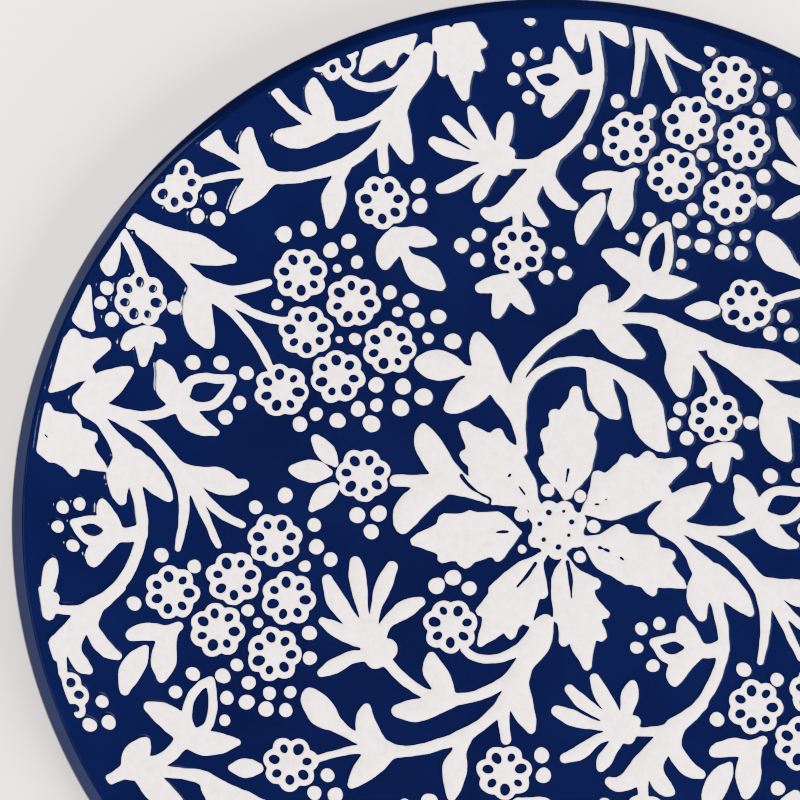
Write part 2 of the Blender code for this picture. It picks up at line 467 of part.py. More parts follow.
def smooth_path(points):
    """Catmull-Rom curve through (x, y, half width) points."""
    knots = [Vector(point) for point in points]
    knots = [2 * knots[0] - knots[1]] + knots + [2 * knots[-1] - knots[-2]]
    path = []
    for before, start, end, after in zip(knots, knots[1:], knots[2:], knots[3:]):
        steps = max(1, round((end - start).length / STROKE_STEP))
        for step in range(steps):
            t = step / steps
            path.append(0.5 * (
                2 * start + (end - before) * t
                + (2 * before - 5 * start + 4 * end - after) * t ** 2
                + (3 * start - before - 3 * end + after) * t ** 3
            ))
    return path + [knots[-2]]


def round_cap(centre, radius, direction):
    """Points of a half circle round a stroke's end, from its right side to its left."""
    start = math.atan2(direction.y, direction.x) - math.pi / 2
    angles = [start + math.pi * step / 4 for step in range(1, 4)]
    return [Vector((centre.x + radius * math.cos(a), centre.y + radius * math.sin(a))) for a in angles]


def stroke_outline(points):
    """Counter-clockwise outline of one brush stroke with round ends."""
    path = smooth_path(points)
    left = []
    right = []
    for index, point in enumerate(path):
        ahead = path[min(index + 1, len(path) - 1)]
        behind = path[max(index - 1, 0)]
        along = (ahead - behind).to_2d().normalized()
        side = Vector((-along.y, along.x)) * point.z
        left.append(point.to_2d() + side)
        right.append(point.to_2d() - side)
    end_direction = (path[-1] - path[-2]).to_2d()
    start_direction = (path[0] - path[1]).to_2d()
    return (right + round_cap(path[-1], path[-1].z, end_direction) + left[::-1]
            + round_cap(path[0], path[0].z, start_direction))


def circle_outline(x, y, radius, points, turn=0.0):
    """Regular outline, counter-clockwise."""
    angles = [turn + 2 * math.pi * step / points for step in range(points)]
    return [Vector((x + radius * math.cos(a), y + radius * math.sin(a))) for a in angles]


def rosette_outline(x, y, turn):
    """Seven round petals with a notch between each two."""
    centre = Vector((x, y))
    outline = []
    for petal in range(ROSETTE_PETALS):
        heading = math.radians(turn) + 2 * math.pi * petal / ROSETTE_PETALS
        lobe = centre + ROSETTE_RING * Vector((math.cos(heading), math.sin(heading)))
        for spread in (-math.radians(48), 0.0, math.radians(48)):
            angle = heading + spread
            outline.append(lobe + ROSETTE_LOBE * Vector((math.cos(angle), math.sin(angle))))
        angle = heading + math.pi / ROSETTE_PETALS
        outline.append(centre + ROSETTE_NOTCH * Vector((math.cos(angle), math.sin(angle))))
    return outline


def rosette_holes(x, y, turn):
    """One hole in each petal."""
    holes = []
    for petal in range(ROSETTE_PETALS):
        heading = math.radians(turn) + 2 * math.pi * petal / ROSETTE_PETALS
        holes.append(circle_outline(
            x + ROSETTE_RING * math.cos(heading), y + ROSETTE_RING * math.sin(heading),
            ROSETTE_HOLE, 5, heading,
        ))
    return holes


def centre_outline():
    """Bumpy disc in the middle of the flower."""
    outline = []
    for bump in range(CENTRE_BUMPS):
        heading = 2 * math.pi * bump / CENTRE_BUMPS
        for share, rise in ((0.0, CENTRE_BUMP_HEIGHT), (0.3, CENTRE_BUMP_HEIGHT / 2), (0.5, 0.0),
                            (0.7, CENTRE_BUMP_HEIGHT / 2)):
            angle = heading + share * 2 * math.pi / CENTRE_BUMPS
            radius = CENTRE_RADIUS + rise
            outline.append(Vector((radius * math.cos(angle), 0.5 + radius * math.sin(angle))))
    return outline


def anticlockwise(outline):
    """The outline in anticlockwise order."""
    area = sum(a.x * b.y - b.x * a.y for a, b in zip(outline, outline[1:] + outline[:1]))
    return outline if area > 0.0 else outline[::-1]


def grown(outline, distance):
    """The same outline moved outward all round."""
    result = []
    for index, point in enumerate(outline):
        before = (point - outline[index - 1]).normalized()
        after = (outline[(index + 1) % len(outline)] - point).normalized()
        normal = Vector((before.y + after.y, -before.x - after.x)).normalized()
        lean = max(0.5, normal.dot(Vector((before.y, -before.x))))
        result.append(point + normal * distance / lean)
    return result


def joined_patch(outlines, cuts):
    """Triangles of the outlines' union less the cuts: 2D points and the largest connected patch."""
    points = []
    loops = []
    for outline in outlines + cuts:
        loops.append(list(range(len(points), len(points) + len(outline))))
        points.extend(outline)
    flat, _, triangles, _, _, sources = delaunay_2d_cdt(points, [], loops, 1, 1e-5)
    kept = []
    for triangle, source in zip(triangles, sources):
        if source and max(source) < len(outlines):
            kept.append(triangle)
    neighbours = {}
    for number, triangle in enumerate(kept):
        for corner in range(3):
            edge = frozenset((triangle[corner], triangle[corner - 1]))
            neighbours.setdefault(edge, []).append(number)
    links = {number: set() for number in range(len(kept))}
    for shared in neighbours.values():
        for number in shared:
            links[number].update(shared)
    patches = []
    unseen = set(links)
    while unseen:
        patch = set()
        waiting = [min(unseen)]
        while waiting:
            number = waiting.pop()
            if number not in patch:
                patch.add(number)
                waiting.extend(links[number])
        unseen -= patch
        patches.append([kept[number] for number in sorted(patch)])
    return flat, max(patches, key=len)


def raised(name, outlines, cuts, surface):
    """Solid of even thickness over the given outlines, following the face of the plate."""
    flat, patch = joined_patch(outlines, cuts)
    shape = bmesh.new()
    corners = {}
    for triangle in patch:
        for number in triangle:
            if number not in corners:
                corners[number] = shape.verts.new((flat[number].x, flat[number].y, 0.0))
        shape.faces.new([corners[number] for number in triangle])
    inside = [edge for edge in shape.edges if len(edge.link_faces) == 2]
    bmesh.ops.delete(shape, geom=shape.faces[:], context="FACES_ONLY")
    bmesh.ops.delete(shape, geom=inside, context="EDGES")
    bmesh.ops.delete(shape, geom=[v for v in shape.verts if not v.link_edges], context="VERTS")
    bmesh.ops.remove_doubles(shape, verts=shape.verts, dist=MERGE_DISTANCE)
    bmesh.ops.triangle_fill(shape, use_beauty=True, use_dissolve=False, edges=shape.edges)
    for vert in shape.verts:
        vert.co.z = well_height(vert.co.to_2d().length) + GAP
        vert.co *= MM
    extruded = bmesh.ops.extrude_face_region(shape, geom=shape.faces[:], use_keep_orig=True)
    lifted = [item for item in extruded["geom"] if isinstance(item, bmesh.types.BMVert)]
    bmesh.ops.translate(shape, verts=lifted, vec=(0.0, 0.0, RELIEF_THICKNESS * MM))
    bmesh.ops.recalc_face_normals(shape, faces=shape.faces)
    return add_object(name, shape, surface)


def shifted(points, across, along):
    """Stroke points moved by whole repeats of the decoration."""
    move_x = across * REPEAT_ACROSS[0] + along * REPEAT_ALONG[0]
    move_y = across * REPEAT_ACROSS[1] + along * REPEAT_ALONG[1]
    return [(x + move_x, y + move_y, width) for x, y, width in points]


def near(outline, other):
    """Whether two outlines' boxes come within the gap of each other."""
    low = max(min(p.x for p in outline), min(p.x for p in other))
    high = min(max(p.x for p in outline), max(p.x for p in other))
    bottom = max(min(p.y for p in outline), min(p.y for p in other))
    top = min(max(p.y for p in outline), max(p.y for p in other))
    return low - GAP < high and bottom - GAP < top


def decoration(surface):
    """All raised pieces of the well; each is cut back from the ones placed before it."""
    pieces = [("flower_centre", [centre_outline()], [])]
    for number, (x, y, turn) in enumerate(ROSETTES, 1):
        pieces.append((f"rosette_{number:02d}", [rosette_outline(x, y, turn)], rosette_holes(x, y, turn)))
    for name, parts in TRAILED:
        outlines = []
        for strokes, across, along in parts:
            for stroke in STROKES[strokes]:
                outlines.append(stroke_outline(shifted(stroke, across, along)))
        pieces.append((name, outlines, []))
    for number, outline in enumerate(FLOWER_LEAVES, 1):
        corners = anticlockwise([Vector(point) for point in outline])
        pieces.append((f"flower_leaf_{number}", [corners], []))
    for number, (x, y, radius) in enumerate(DOTS, 1):
        pieces.append((f"dot_{number:02d}", [circle_outline(x, y, radius, 8)], []))
    placed = []
    for name, outlines, holes in pieces:
        cuts = [grown(other, GAP) for other in placed if any(near(other, own) for own in outlines)]
        raised(name, outlines, holes + cuts, surface)
        placed.extend(outlines)


def main():
    for old in list(bpy.data.objects):
        bpy.data.objects.remove(old, do_unlink=True)
    clay = material("fired_clay", (0.62, 0.50, 0.38), 0.85)
    cobalt = material("cobalt_glaze", (0.006, 0.014, 0.095), 0.12)
    foot_glaze = material("foot_glaze", (0.006, 0.014, 0.095), 0.2)
    slip = material("white_slip", (0.84, 0.80, 0.76), 0.4)
    plate_body(clay)
    cobalt_glaze(cobalt)
    underside_glaze(foot_glaze)
    decoration(slip)


main()
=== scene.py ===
"""Looks of the cobalt plate: smooth glaze, raised white slip decoration, camera and soft light.

The decoration is drawn as brush strokes on the flattened face of the plate. Their distance field
gives every motif's outline; each outline is lofted into a body with a rounded edge and a bead of
glaze at its foot, and is laid on the curved face.
"""
import math

import bmesh
import bpy
import numpy as np
from mathutils import Matrix, Vector
from mathutils.geometry import delaunay_2d_cdt

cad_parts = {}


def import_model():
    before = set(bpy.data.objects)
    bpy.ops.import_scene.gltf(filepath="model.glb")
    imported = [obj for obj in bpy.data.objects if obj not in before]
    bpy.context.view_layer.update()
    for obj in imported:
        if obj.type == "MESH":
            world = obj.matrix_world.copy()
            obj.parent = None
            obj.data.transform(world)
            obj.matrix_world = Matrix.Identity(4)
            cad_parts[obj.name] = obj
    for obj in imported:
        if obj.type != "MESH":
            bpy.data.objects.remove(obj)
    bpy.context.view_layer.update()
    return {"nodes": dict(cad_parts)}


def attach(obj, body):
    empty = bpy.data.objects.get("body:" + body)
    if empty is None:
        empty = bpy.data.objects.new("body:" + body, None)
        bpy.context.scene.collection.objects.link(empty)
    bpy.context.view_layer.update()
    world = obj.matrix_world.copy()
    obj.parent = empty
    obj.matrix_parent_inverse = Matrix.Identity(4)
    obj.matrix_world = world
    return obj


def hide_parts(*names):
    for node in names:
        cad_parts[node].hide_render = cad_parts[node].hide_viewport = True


MM = 0.001

# The plate's section in millimetres, as in the CAD model.
FLOOR_RADIUS = 79.0
FLOOR_HEIGHT = 8.5
WALL_ARC = 106.0
WALL_END = 29.6
CREST_ARC = 0.9
CREST_END = 20.0
LIP_ARC = 11.5
LIP_END = 34.0
EDGE_ARC = 1.0
EDGE_END = 150.0
UNDERSIDE_ARC = 110.0
UNDERSIDE_THICKENING = 1.0
FOOT_GLAZE_LINE = 4.0
FOOT_OUTER = 84.4
FOOT_INNER = 77.2
FOOT_LAND_OUTER = 82.4
FOOT_LAND_INNER = 78.6
FOOT_CHAMFER_HEIGHT = 1.2
RECESS_HEIGHT = 3.5
GLAZE_THICKNESS = 0.4
BODY_CLEARANCE = 0.05
CREST_RADIUS = 131.85
CREST_HALF_WIDTH = 0.5
GLAZE_SPECULAR = 0.5
CREST_SPECULAR = 0.01

# The decoration repeats along two directions and stops below the rim.
REPEAT_ACROSS = (144.2, -28.7)
REPEAT_ALONG = (-29.1, 145.5)
WALL_STRETCH = (0.73, 0.55)
STRETCH_HEADING = 118.0
DECORATION_RADIUS = 129.8
DECORATION_SHIFT = 2.5
DECORATION_HEADING = 142.0
DOT_TRIM = 0.07
DOT_GAP = 0.3
GRID_STEP = 0.2
GRID_REACH = 136.0
FIELD_START = 6.0
FAR_AWAY = 9.0
FARTHEST_REPEAT = 3
OUTLINE_STEP = 0.5
FILL_STEP = 3.2
JOIN_SOFTNESS = 0.45
SPLINE_STEP = 1.0

# Unsteadiness of the outlines: (wave length, heading in degrees, height)
WAVER = [(9.0, 20.0, 0.05), (7.3, 100.0, 0.05), (4.1, 60.0, 0.035), (3.7, 150.0, 0.035), (2.3, 5.0, 0.02)]

# Numbers of the materials on a relief piece
# The third material is a painted reflection: slate-blue colour beside the motifs' right-hand edges.
SLIP, COBALT, PAINTED_SHEEN = range(3)

# Edge of a motif: (distance outside the outline, height above the glaze)
GLAZE_BEAD = [(1.02, -0.04), (0.95, 0.07), (0.42, 0.20), (0.08, 0.24)]
BEAD_FLOOR = -0.05
NARROWEST_BEAD = 0.11
PIT_BEAD = 0.62
# Painted reflection: weaker in pits, and no face carries it below the faintest share.
PIT_SHEEN = 0.3
FAINTEST_SHEEN = 0.1
POOL_HEADING = 165.0
GATHER_HEADING = 150.0
PINCHED_INSET = 0.2
# Painted reflection beside the right-hand edges: how far it spreads, which way it faces, how high its faces
# stand.
SHEEN_WIDTH = 1.3
SHEEN_HEADING = -18.0
SHEEN_HEIGHT = 0.04
SLIP_EDGE = [(0.0, 0.24), (-0.04, 0.29), (-0.12, 0.33), (-0.28, 0.36)]

ROSETTE_RING = 4.15
ROSETTE_LOBE = 2.68
ROSETTE_CORE = 5.2
ROSETTE_PETALS = 7
ROSETTE_HOLE = (1.45, 1.2)

# Areas in square millimetres that tell motifs, holes, dots and rosettes apart
SMALLEST_MOTIF = 1.2
SMALLEST_HOLE = 0.15
LARGEST_DOT = 22.0
LARGEST_ROSETTE = 170.0
FEWEST_PITS = 5
FLOWER_MARKS = [(3.0, 20.0), (15.0, -6.0), (0.0, 0.0)]

# Camera, in millimetres from the middle of the well's floor, turned about X and then Y in radians
CAMERA_PLACE = (-91.72, -328.26, 1472.6)
CAMERA_TURN = (0.241, -0.035)
CAMERA_LENS = 273.3

# Brush strokes as (x, y, half width), seen from above with +Y towards the far rim.
STROKES = {
    "left_spray": [
        [(-15.8, 7.8, 1.1), (-20, 10, 1.8), (-25, 12, 2.6), (-29, 12.6, 2.8)],
        [(-22, 11.5, 1.8), (-27, 15, 3), (-30.3, 19.5, 3.5), (-32.3, 23.5, 2.9), (-32.9, 26.6, 1)],
        [(-28, 12.8, 1.9), (-35, 12.8, 1.5), (-40, 12.9, 1.4)],
        [(-28, 12, 2.5), (-33, 8.8, 3.4), (-36.5, 5.5, 3.6), (-38, 2.5, 2.6), (-38.2, 0.6, 1.2)],
    ],
    "upper_vine": [
        [(-8.2, 20.6, 1.2), (-8.8, 26, 1.4), (-10, 31, 2.4), (-13.5, 36.5, 2.8), (-16, 40, 3.2)],
        [(-15.5, 39, 3), (-17.3, 44, 3.4), (-18.6, 48, 2.3), (-19, 50.1, 1.2)],
        [
            (-18, 40.5, 1.7), (-22.5, 41.3, 1.3), (-26, 42.2, 3), (-29.5, 42.6, 3.8),
            (-32.5, 42.8, 2.4), (-34, 43, 0.9),
        ],
        [(-17, 38.8, 2.9), (-21, 35.8, 3.7), (-24.4, 33, 2.6), (-26.5, 31.5, 1.1)],
        [
            (-9.2, 30, 2), (-8, 35, 1.3), (-5, 39.6, 1.25), (-1, 42.4, 1.15), (3, 43.5, 1.2),
            (7, 43.3, 1.3), (11, 42.4, 1.4),
        ],
        [
            (-9.8, 33, 1.8), (-9.5, 37, 1.4), (-8, 41, 1.3), (-4.5, 45.7, 1.25), (0, 49.5, 1.25),
            (4, 52, 1.3), (7, 54, 1.8), (10, 55.6, 2.8),
        ],
        [(9.5, 42.8, 1.6), (11.3, 39, 3), (12, 35, 3.3), (14, 31.5, 2.4), (15.4, 29.8, 1.2)],
        [
            (11, 42.5, 1.5), (14.5, 41.4, 1.4), (18, 38.8, 1.9), (21.3, 35.3, 3.2), (23, 31, 4.1),
            (23.8, 27, 3.9), (25.5, 23.4, 2.6), (27.5, 21.3, 1.1),
        ],
        [(8.5, 54.5, 2.5), (9.8, 58, 3.1), (11.4, 60.6, 2.4), (12.6, 62.4, 1.1)],
        [(12, 56, 2.2), (15, 57.2, 1.6), (18.5, 59, 1.7), (21, 62, 1.8), (22.8, 64.5, 2.4)],
        [(12, 53.5, 2.6), (15, 50.2, 3.4), (18.3, 47.4, 2.9), (21.8, 45.4, 1.2)],
        [
            (11, 55, 2.8), (17, 54.9, 1.5), (22, 54.7, 1.35), (26.5, 53.9, 1.8), (31, 51.6, 2),
            (37.2, 48.6, 2.2),
        ],
        [(28.8, 51.5, 2.4), (31.3, 46.5, 2.9), (31.3, 41, 3.4), (31.9, 37, 2.2), (31.9, 35.8, 1.4)],
        [(30.5, 49.8, 1.8), (33.5, 46.8, 1.6), (36.5, 43.3, 1.3), (38.8, 39.5, 1.3), (40.3, 35.5, 1.3)],
    ],
    "upper_bud": [
        [(23, 64.5, 2.4), (20.5, 67.3, 3.2), (17, 70, 2.8), (13.6, 71.4, 1.3)],
        [(23.5, 63.7, 2.2), (27, 63, 3.2), (30.5, 62.9, 2.8), (33.5, 63.1, 1.6), (35.5, 63.3, 0.8)],
        [(23.7, 66, 1.6), (23, 69.5, 1.1), (24, 74, 1.1), (26.4, 77.4, 1), (28.8, 78.9, 0.9)],
        [(25.7, 65.3, 1.3), (28.3, 67.2, 1.1), (29.4, 71, 1), (29.5, 75, 1), (29, 78.9, 0.9)],
    ],
    "wall_branch": [
        [
            (-106.5, 78, 1.4), (-102, 75, 2.3), (-96, 72.6, 3.3), (-90, 71.3, 3.7), (-85, 69.9, 2.4),
            (-80.7, 69.2, 1.1),
        ],
        [(-104, 74.6, 1.6), (-100, 72.2, 1.8), (-96, 69, 1.9), (-92.6, 66, 1.8), (-89.5, 62.8, 2.3)],
        [(-88.5, 61.8, 2.5), (-82, 61.3, 1.3), (-77, 62, 1.1), (-71.4, 63.7, 0.95)],
        [(-89, 62, 2.4), (-89.4, 57, 3.5), (-88.8, 52.5, 3.6), (-87.1, 48.9, 2.1), (-86.3, 47.7, 1.2)],
        [(-86, 60.4, 1.8), (-81.5, 56.6, 1.05), (-77, 51.9, 1), (-73.4, 46.6, 1), (-70.9, 41.5, 0.9)],
        [(-85, 60.6, 1.6), (-79.5, 58, 1.2), (-75, 55.7, 1), (-70, 54.2, 0.9), (-67, 54, 0.9)],
    ],
    "side_vine": [
        [(-118.8, 31.3, 2.4), (-115, 34, 3.6), (-111.5, 36.3, 3.4), (-108.5, 38.6, 2.1), (-106.6, 40, 1)],
        [(-118, 30.8, 2.2), (-111, 29.4, 1.4), (-105, 28.8, 1.15), (-100, 29.1, 1.1), (-95.5, 31, 1.5)],
        [
            (-114, 29.6, 1), (-108, 27.3, 1.3), (-103, 25, 1.5), (-98.5, 21, 1.6), (-95.3, 17, 1.8),
            (-92.5, 14, 2.6),
        ],
        [
            (-117.5, 29.8, 2.2), (-113.8, 26.8, 1.5), (-110.8, 23, 1.7), (-107.5, 18.5, 2.9),
            (-105.4, 13.5, 2.6),
        ],
        [(-107.5, 18.5, 2.2), (-109, 13.5, 3), (-109, 9.5, 2.1), (-108.4, 7.1, 1.3)],
        [(-105, 17.8, 2.6), (-101.6, 14.2, 3.1), (-98.6, 10.8, 2.4), (-96.5, 8.2, 1.1)],
        [
            (-105.3, 13, 1.6), (-104.3, 9, 1.4), (-103.4, 4.5, 1.35), (-103.1, 0, 1.3),
            (-104, -5, 1.3), (-106, -10, 1.3), (-109, -14.8, 1.35), (-112.8, -18.4, 1.5),
            (-116, -20.6, 1.9),
        ],
        [(-92, 14.6, 2.3), (-88, 14, 2.3), (-84, 12.9, 3.3), (-80.5, 11.5, 2.2), (-77.8, 11.9, 1.35)],
        [(-93, 13.5, 2), (-92.6, 8, 1.3), (-92.8, 3, 1.1), (-94.1, -4.6, 0.75)],
        [(-90.8, 11.8, 1.3), (-88.7, 7, 1.1), (-86.5, 2, 0.95), (-84.1, -3.6, 0.8)],
        [(-89.3, 11, 1.1), (-86, 6.9, 1.1), (-82.5, 3.9, 1), (-78, 1.7, 0.85)],
    ],
    "side_bud": [
        [(-94.5, 33, 2.2), (-96.6, 36, 3.1), (-97.2, 39.4, 2.3), (-98.7, 42, 1.1)],
        [(-93, 31.5, 2.2), (-91, 28.6, 2.7), (-88, 26.4, 2), (-84.7, 25.2, 0.95)],
        [(-93, 34.8, 1.6), (-91, 38, 1.2), (-88, 39.1, 1.1), (-84, 38.8, 1.1), (-80.7, 39.2, 1)],
        [(-93, 32.6, 1.6), (-89, 31.7, 1.1), (-85.5, 32.2, 1.1), (-82.6, 35, 1.1), (-80.6, 38.6, 1)],
    ],
    "leaf_fan": [
        [(0, 96.2, 2), (-0.8, 91.5, 1.7), (0.6, 88, 2), (3, 85.3, 1.9), (5.6, 84.1, 1.1)],
        [(-3, 93, 2.4), (-5.7, 87.5, 2.3), (-5.4, 84, 2), (-3.6, 80.9, 2), (-1.8, 79.7, 1)],
        [(-4.5, 91, 2.6), (-8.3, 86.3, 2.9), (-12, 82.8, 2.2), (-15, 81.7, 1.8), (-16.8, 82.3, 1.2)],
        [(-8.2, 86, 1.6), (-8.7, 82, 1.2), (-8.6, 78, 1.1)],
        [(0, 96.5, 2), (3.2, 98.6, 1.5), (6.5, 101.6, 1.3)],
        [(0, 96.2, 1.9), (-4, 95, 1.2), (-9, 94.7, 1.05), (-12, 95.3, 1.4)],
    ],
    "half_daisy": [
        [(-12.3, 96.4, 2.6), (-12, 95.6, 2.6)],
        [(-10.9, 97.2, 1.5), (-10.6, 97.4, 1.5)],
        [(-12, 93.2, 1.5), (-12.2, 93.3, 1.5)],
        [(-12.8, 98, 1.2), (-12, 101.5, 1.8), (-11.5, 104.4, 2), (-10.8, 106.7, 1)],
        [(-14.3, 97.5, 1.1), (-16.8, 101.5, 1.7), (-18.9, 105, 1.8), (-20.2, 108.3, 1)],
        [(-15.2, 96.9, 1), (-19.5, 99.5, 1.2), (-23.5, 102.5, 1.6), (-26.5, 105.5, 1.1)],
        [(-15.5, 95.8, 1), (-20.5, 96.6, 1.2), (-26, 98.3, 1.9), (-29.7, 100.1, 1.3)],
        [(-14.5, 94.6, 1.1), (-19.5, 92.9, 1.2), (-24, 89.7, 1.7), (-27.9, 88.2, 1.2)],
        [(-13.5, 94, 1.2), (-16.2, 90.6, 1.5), (-18, 87.8, 1.8), (-18.9, 85.8, 1)],
    ],
    "stem_bud": [
        [(5, 116.3, 2), (3, 119.4, 2.4), (2.1, 121.8, 1.6), (1.9, 123, 0.9)],
        [(4.5, 114.6, 2.2), (1.8, 112, 2.5), (-0.2, 109, 2.2), (-0.4, 107.3, 1)],
        [(4, 117, 1.6), (0, 118.5, 1), (-3.5, 117.8, 0.9), (-5.5, 117.3, 0.85)],
        [(4, 114.3, 1.6), (0, 113, 1.2), (-3, 113.8, 1), (-5.3, 116.8, 0.8)],
        [(4.2, 115.6, 1.9), (8, 115.1, 1.7), (11.3, 115.8, 2)],
    ],
    "big_daisy": [
        [(-44.6, -30.6, 3.6), (-45.2, -30, 3.6)],
        [(-42.2, -29.6, 2.3), (-42.2, -30, 2.3)],
        [(-45, -32.6, 2.1), (-45.4, -32.6, 2.1)],
        [(-47, -31.2, 1.2), (-51.5, -32, 1.5), (-55.5, -34.2, 1.8), (-58.6, -35.8, 0.9)],
        [(-47, -28.7, 1.2), (-51, -27.2, 1.5), (-55, -24.8, 1.8), (-58.3, -22.8, 1)],
        [(-47.5, -26.8, 1.3), (-51.5, -22.3, 1.9), (-55.2, -17, 2.2), (-57, -12.3, 1.2)],
        [(-46.8, -26, 1.2), (-48.4, -19.5, 1.3), (-49.5, -12.5, 2.1), (-50, -7.8, 1.4)],
        [(-46, -25, 1.1), (-45, -19.5, 1.2), (-43, -13.5, 2), (-41, -9, 1.3)],
        [(-44.2, -27, 1.5), (-42.3, -23.2, 1.3), (-38, -19.8, 2.2), (-34, -17.9, 1.2)],
    ],
    "lower_vine": [
        [(-42.3, -33.3, 1.3), (-38.5, -37.2, 1.2), (-34.5, -40.2, 1.2), (-30, -42.3, 1.6)],
        [(-27.5, -42.3, 1.9), (-29, -38.5, 2.7), (-31, -34.8, 2.6), (-31.4, -31.7, 1.1)],
        [(-27, -42.8, 1.8), (-31, -44.2, 2.4), (-35.5, -45.3, 2.8), (-39.8, -45.3, 1.6)],
        [
            (-3, -23, 1.9), (-4.4, -28, 2.6), (-8, -33, 2.2), (-12, -37, 1.5), (-17, -40.2, 1.3),
            (-22, -42, 1.25), (-27.5, -42.6, 1.6),
        ],
        [
            (-4, -23.5, 1.8), (-7.8, -28.2, 1.5), (-12, -31.2, 1.15), (-17, -32.4, 1),
            (-21, -31.7, 0.95), (-23.3, -30, 0.9),
        ],
        [
            (-8, -33, 2), (-10, -38, 2.3), (-12.5, -42, 2), (-15, -45, 1.5), (-19.5, -49, 1.4),
            (-24, -51.8, 1.6), (-29, -53.6, 1.4), (-35, -55.2, 1.3), (-40, -55.5, 1.5),
            (-44, -54.9, 2.4),
        ],
        [(-9.8, -39, 2.3), (-9.3, -44, 2.9), (-7.9, -47.8, 2), (-7, -50, 1.1)],
        [(-13.4, -43, 1.5), (-13.7, -48, 1.25), (-13.2, -52.5, 1.2)],
        [(-23.5, -52.2, 1.8), (-25, -56, 1.7), (-25.9, -60, 3), (-26.4, -64.5, 1.9), (-26.8, -66.7, 1.1)],
        [(-45.5, -53.5, 2.6), (-47.6, -49.5, 2.6), (-48, -46.5, 1.9), (-47.7, -44.6, 1.1)],
        [(-43, -55.8, 2.4), (-46.3, -58.4, 3.1), (-49.3, -61.4, 2.2), (-51.4, -63.9, 0.9)],
        [(-45.5, -54.8, 1.6), (-50, -55, 0.95), (-55, -56, 0.8), (-60.5, -57.6, 0.7)],
        [
            (-46.5, -53.6, 1.6), (-51.5, -51.3, 1.2), (-55.5, -48.6, 1.9), (-58.6, -45.7, 3.4),
            (-61, -42.5, 2.6), (-61.8, -40.8, 1.3),
        ],
    ],
    "sprig_leaf": [
        [(-81, -60, 0.8), (-77.5, -60, 2.4), (-74.6, -59.9, 1.4)],
    ],
    "upper_sprig": [
        [(-39.5, 77, 1.4), (-36.8, 76.2, 2.1), (-33.5, 75.8, 2.6), (-30.4, 75, 1.2)],
        [(-39.6, 76.6, 1.5), (-41, 73.3, 3), (-42, 70.3, 2.3), (-42.2, 68.4, 1.1)],
        [(-38.4, 75, 1.4), (-36.5, 70.6, 1.5), (-33, 67, 3.4), (-30.4, 64.9, 2.7), (-28.4, 63.2, 1.3)],
    ],
    "bent_sprig": [
        [(21.1, 92.5, 1.1), (18, 90.7, 1.8), (14, 90.8, 2.2), (10.5, 90.2, 1.9), (9.2, 89.6, 1.3)],
        [(19.3, 91, 1.7), (17.9, 87.5, 2.6), (17.3, 83.5, 3.1), (16.9, 80.3, 1.8), (16.7, 79.1, 1.2)],
    ],
    "loose_leaf": [
        [(12.7, 86.4, 0.9), (10.8, 83.4, 2.5), (8.6, 79.6, 2.7), (7.6, 76.5, 1.6), (7.4, 75.1, 1.1)],
    ],
    "three_lobe": [
        [(-11.3, 64.2, 2.2), (-15, 63.6, 2.1), (-18.1, 62.6, 1.3)],
        [(-12, 63, 2.4), (-13.2, 59, 2.2), (-14.1, 56, 1.2)],
        [(-11, 63.3, 2.5), (-8.3, 60, 2.4), (-6.2, 57.2, 1.3)],
    ],
    "small_lobe": [
        [(-103.3, 49.3, 2), (-106, 48.3, 1.8), (-107.4, 46.3, 1.4)],
        [(-102.6, 49, 2.3), (-102.8, 45.5, 2.1), (-103, 42.3, 1.1)],
        [(-102.2, 49.6, 1.8), (-99.5, 49.4, 1.6), (-98.5, 48.2, 1.1)],
    ],
    "side_leaf_a": [
        [(-55, 17.2, 0.8), (-57.2, 20.4, 2.3), (-59.7, 23.5, 1.2)],
    ],
    "side_leaf_b": [
        [(-56.5, 15.1, 0.9), (-60.3, 15.3, 2.8), (-63.8, 15.6, 2), (-65.4, 15.8, 1)],
    ],
    "side_leaf_c": [
        [(-55.5, 11, 1.4), (-58, 8.9, 2.4), (-60.8, 5.9, 0.9)],
    ],
}

